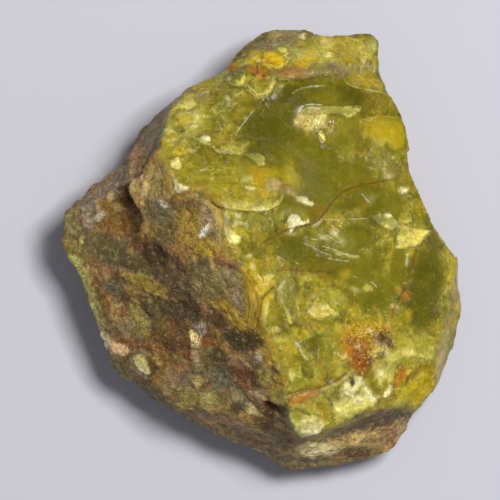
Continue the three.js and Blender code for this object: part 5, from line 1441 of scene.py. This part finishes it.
stone, tree = new_finish("green opal and rind")
place = tree.add("ShaderNodeTexCoord", out=3)
stain_wire = tree.kept("stain")
rind_wire = tree.kept("rind", out=2)
smooth_wire = tree.kept("smooth", out=2)
fine = tree.noise(place, 0.45, 3)
cloud = tree.noise(place, 2.2, 4)
feather = tree.noise(place, 1.5, 5, warp=1.4)
flame = tree.noise(place, 3.1, 4, warp=0.9)
wobble = (tree.noise(place, 0.8, 3) - 0.5) * 0.5
broken = 1 - smooth_wire * 0.78
chip, crumb = tree.chips(place, 1.5), tree.chips(place, 0.6)

shade = 1 + (cloud - 0.5) * 0.5 + (fine - 0.5) * (0.35 + broken * 0.5) + (feather - 0.5) * broken * 0.9
shade += ((chip - 0.5) * 0.28 + (crumb - 0.5) * 0.22) * broken
speck = tree.noise(place, 0.3, 1)
waxy = tree.layered(tree.shaded(stain_wire, shade), [
    (flame.ramp(0.52, 0.66) * broken * 0.3, "gold", FRESH_LIFT),
    (feather.ramp(0.6, 0.7) * broken * 0.35, "sugar", 1),
    (speck.ramp(0.64, 0.78) * cloud.ramp(0.4, 0.6) * 0.3, "straw", 1)])
for turn, height in ((0.5, 3), (-0.7, 5), (1.4, 9)):  # painted highlights: glints drawn out three ways
    drawn = tree.add("ShaderNodeMapping", {}, {
        "Vector": place, "Rotation": (0, 0, turn), "Location": (0, 0, height * MM), "Scale": (1, 0.45, 1)})
    painted_glint = tree.noise(drawn, 0.3, 1).ramp(0.66, 0.74) * tree.noise(place, 1.6, 1).ramp(0.56, 0.66)
    waxy = tree.mix(painted_glint * 0.45 * broken, waxy, paint("chalk"))
vein, halo = line_mask(tree, "veins", 0.2, wobble)
# lip: a painted highlight, a pale line along the high edge of each ledge
lip, _ = line_mask(tree, "lip_highlights", 0.13, wobble * 0.6)
scratch, _ = line_mask(tree, "scratches", 0.1, wobble * 0.9)
band, beside_band = line_mask(tree, "bands", 0.16, wobble * 0.4)
waxy = tree.layered(waxy, [
    (halo * 0.35 * cloud.ramp(0.35, 0.6), "honey", FRESH_LIFT),
    (vein * 0.7 * cloud.ramp(0.3, 0.5), "brown", 0.8), (band * 0.65, "amber brown", 1),
    (lip * 0.8 * fine.ramp(0.3, 0.55), "pear", 1),
    (scratch * 0.42 * cloud.ramp(0.4, 0.56), "chalk", 1)])

crust_grain = tree.chips(place, 0.42)
stains = tree.noise(place, 1.0, 6, warp=0.5)
grit = tree.noise(place, 0.26, 2)
fleck = tree.noise(place, 0.9, 4)
shade = crust_grain * 0.6 + chip * 0.25 + fine * 0.5 + stains * 0.5 + grit * 0.7 - 0.3
dull = tree.layered(tree.shaded(stain_wire, shade), [
    (stains.ramp(0.47, 0.35) * 0.5, "umber", RIND_LIFT), (stains.ramp(0.56, 0.68) * 0.35, "tan", RIND_LIFT),
    (fleck.ramp(0.56, 0.68) * 0.22, "clay", RIND_LIFT), (vein * 0.8, "coffee", 1),
    (beside_band * 0.35, "gold", RIND_LIFT), (band * 0.6, "brown", RIND_LIFT)])

wax_height = fine * 0.2 + (feather * 0.6 + crumb * 0.3 + chip * 0.4) * broken
wax_bump = tree.add("ShaderNodeBump", {}, {
    "Strength": 0.6, "Distance": 0.15 * MM, "Height": wax_height})
rind_bump = tree.add("ShaderNodeBump", {}, {
    "Strength": 0.65, "Distance": 0.35 * MM, "Height": crust_grain * 0.5 + fine + chip * 0.5})
opal = tree.add("ShaderNodeBsdfPrincipled", {}, {
    "Base Color": waxy, "Roughness": 0.2 + broken * 0.14, "Normal": wax_bump, "IOR": 1.45,
    "Specular IOR Level": 0.3, "Subsurface Weight": 0.25, "Subsurface Radius": (1, 0.9, 0.35),
    "Subsurface Scale": 0.8 * MM})
crust = tree.add("ShaderNodeBsdfPrincipled", {}, {
    "Base Color": dull, "Roughness": 0.62, "Normal": rind_bump, "Specular IOR Level": 0.35})
both = tree.add("ShaderNodeMixShader", {}, {0: rind_wire, 1: opal, 2: crust})
tree.add("ShaderNodeOutputMaterial", {}, {"Surface": both})
skin.data.materials.clear()
skin.data.materials.append(stone)
skin.data.shade_smooth()
print(f"{len(tree.tree.nodes)} nodes")

# %% [markdown]
# ## Crystal grains
#
# Where water ran through the stone it left sugar: heaps of small crystals in the rust pocket, in the
# pale drusy patch and in the hollows of the rind. They repeat by the thousand, so Geometry Nodes
# scatter them. The tree takes a patch of skin, spreads points over it by the density kept on the
# patch, puts a twenty-sided grain on each, and turns and stretches every grain at random. The last
# two nodes make the copies real and give them their material. The patch carries its stain along, so
# a grain takes the colour of the stone under it.

# %% The tree that scatters grains
THINNEST, STOUTEST = 0.45, 1.35  # a grain is stretched by a number between these, each way


def grain_tree():
    """Geometry Nodes that scatter small crystals over a patch of skin."""
    group = bpy.data.node_groups.new("crystal grains", "GeometryNodeTree")
    for name, kind in (("Patch", "Geometry"), ("Half size", "Float"), ("Apart", "Float"),
                       ("Most", "Float"), ("Seed", "Int"), ("Finish", "Material")):
        group.interface.new_socket(name, in_out="INPUT", socket_type=f"NodeSocket{kind}")
    group.interface.new_socket("Grains", in_out="OUTPUT", socket_type="NodeSocketGeometry")
    tree = Tree(group)
    inputs = group.nodes.new("NodeGroupInput")
    given = {socket.name: Wire(tree, socket) for socket in inputs.outputs if socket.name}
    density = tree.add("GeometryNodeInputNamedAttribute", {"data_type": "FLOAT"}, {"Name": "density"})
    points = tree.add("GeometryNodeDistributePointsOnFaces", {"distribute_method": "POISSON"}, {
        "Mesh": given["Patch"], "Distance Min": given["Apart"], "Density Max": given["Most"],
        "Density Factor": density, "Seed": given["Seed"]})
    turn = tree.add("FunctionNodeRandomValue", {"data_type": "FLOAT_VECTOR"},
                    {0: (0, 0, 0), 1: (math.tau,) * 3, "Seed": given["Seed"]})
    stretch = tree.add("FunctionNodeRandomValue", {"data_type": "FLOAT_VECTOR"},
                       {0: (THINNEST,) * 3, 1: (STOUTEST,) * 3, "Seed": given["Seed"]})
    grain = tree.add("GeometryNodeMeshIcoSphere", {}, {"Radius": given["Half size"], "Subdivisions": 1})
    copies = tree.add("GeometryNodeInstanceOnPoints", {}, {
        "Points": points, "Instance": grain, "Rotation": turn, "Scale": stretch})
    tone = tree.add("FunctionNodeRandomValue", {"data_type": "FLOAT"}, {"Seed": given["Seed"]}, out=1)
    toned = tree.add("GeometryNodeStoreNamedAttribute", {"data_type": "FLOAT", "domain": "INSTANCE"},
                     {"Geometry": copies, "Name": "tone", "Value": tone})
    real = tree.add("GeometryNodeRealizeInstances", {}, {"Geometry": toned})
    dressed = tree.add("GeometryNodeSetMaterial", {}, {"Geometry": real, "Material": given["Finish"]})
    tree.add("NodeGroupOutput", {}, {0: dressed})
    return group


GRAIN_TREE = grain_tree()
print(f"{len(GRAIN_TREE.nodes)} nodes scatter the grains")

# %% The grains' material
def grain_finish(name, pale, pale_share):
    """Small glassy crystals that take the stain under them, some of them pale."""
    material, tree = new_finish(name)
    tone = tree.kept("tone", out=2)
    stained = tree.shaded(tree.kept("stain"), 0.55 + tone * 0.9)
    body = tree.mix(tone.ramp(1 - pale_share, 1) * 0.85, stained, paint(pale))
    shader = tree.add("ShaderNodeBsdfPrincipled", {}, {"Base Color": body, "Roughness": 0.4, "IOR": 1.5})
    tree.add("ShaderNodeOutputMaterial", {}, {"Surface": shader})
    return material


# %% Scatter the grains
HEAPS = {  # name: (half size, apart, pale colour, its share, ovals as for the dabs)
    "rust_pocket_grains": (0.34, 0.42, "beige", 0.22, [
        (20.6, -17.4, 4.7, 4, 0, 0.9), (25.5, -10, 1, 1.4, 0, 0.5), (27, -8, 1, 1, 0, 1),
        (26.5, -24, 1.2, 1.6, -10, 0.4)]),
    "drusy_patch_grains": (0.24, 0.36, "cream", 0.35, [
        (9.3, 24.8, 2.6, 1.7, 10, 0.9), (12.8, 24, 1.9, 1.5, -20, 0.8), (11.4, 22.2, 0.7, 1.3, 15, 0.8)]),
    "rind_sugar_grains": (0.2, 0.32, "dust", 0.08, [
        (-13.5, -8, 6.5, 5.5, 0, 0.35), (-20, -1.5, 5, 4, 0, 0.2), (-3.5, -17, 4.5, 2.4, 0, 0.5),
        (-12.5, -16, 3.2, 2.6, 0, 0.8), (-3.6, -24, 2.8, 2.2, 0, 0.5), (-19, -16, 8, 4, -10, 0.25),
        (-24, -12, 4, 4, 0, 0.25)]),
}
MOST = 12e6  # grains on a square metre, where the density is 1
LEAST_DENSITY = 0.02


def patch_of(weights):
    """The part of the skin where the weights are above next to nothing, with its stain and density."""
    heavy = weights > LEAST_DENSITY
    faces = [tuple(face.vertices) for face in skin.data.polygons if all(heavy[v] for v in face.vertices)]
    used = np.unique(np.concatenate([np.array(face) for face in faces]))
    number = {old: new for new, old in enumerate(used.tolist())}
    faces = [[number[v] for v in face] for face in faces]
    mesh = bpy.data.meshes.new("patch")
    mesh.from_pydata(to_metres(moved[used]).tolist(), [], faces)
    keep(mesh, "density", "FLOAT", weights[used])
    keep(mesh, "stain", "FLOAT_COLOR", solid_stain[used])
    return bpy.data.objects.new("patch", mesh)


def heap(name, half_size, apart, pale, pale_share, ovals):
    """One piece made of all the grains of a kind."""
    weights = np.zeros(len(at))
    for x, y, half_length, half_width, turn, strength in ovals:
        oval = blob(x, y, half_length, half_width, turn, shift=edge_wander) + ragged
        weights = np.maximum(weights, strength * fade(oval, 0.6, 1.15) * seen_from_above)
    holder = patch_of(weights)
    scene.collection.objects.link(holder)
    scatter = holder.modifiers.new("scatter", "NODES")
    scatter.node_group = GRAIN_TREE
    sizes = {"Half size": half_size * MM, "Apart": apart * MM, "Most": MOST, "Seed": SEED,
             "Finish": grain_finish(name.replace("_", " "), pale, pale_share)}
    for socket in GRAIN_TREE.interface.items_tree:
        if socket.name in sizes:
            scatter[socket.identifier] = sizes[socket.name]
    made = finished(name, holder)
    print(f"{name}: {len(made.data.polygons)} faces")
    return made


heaps = [heap(name, *kind) for name, kind in HEAPS.items()]

# %% Floor material
FLOOR_COLOUR = (0.6, 0.6, 0.66, 1)
pale_floor, tree = new_finish("pale floor")
matt = tree.add("ShaderNodeBsdfPrincipled", {}, {"Base Color": FLOOR_COLOUR, "Roughness": 0.9})
tree.add("ShaderNodeOutputMaterial", {}, {"Surface": matt})
floor.data.materials.append(pale_floor)
print("the floor is matt and pale")

# %% Attach the pieces and hide the lump
for piece in (skin, *heaps):
    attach(piece, "root")
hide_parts("green_opal")
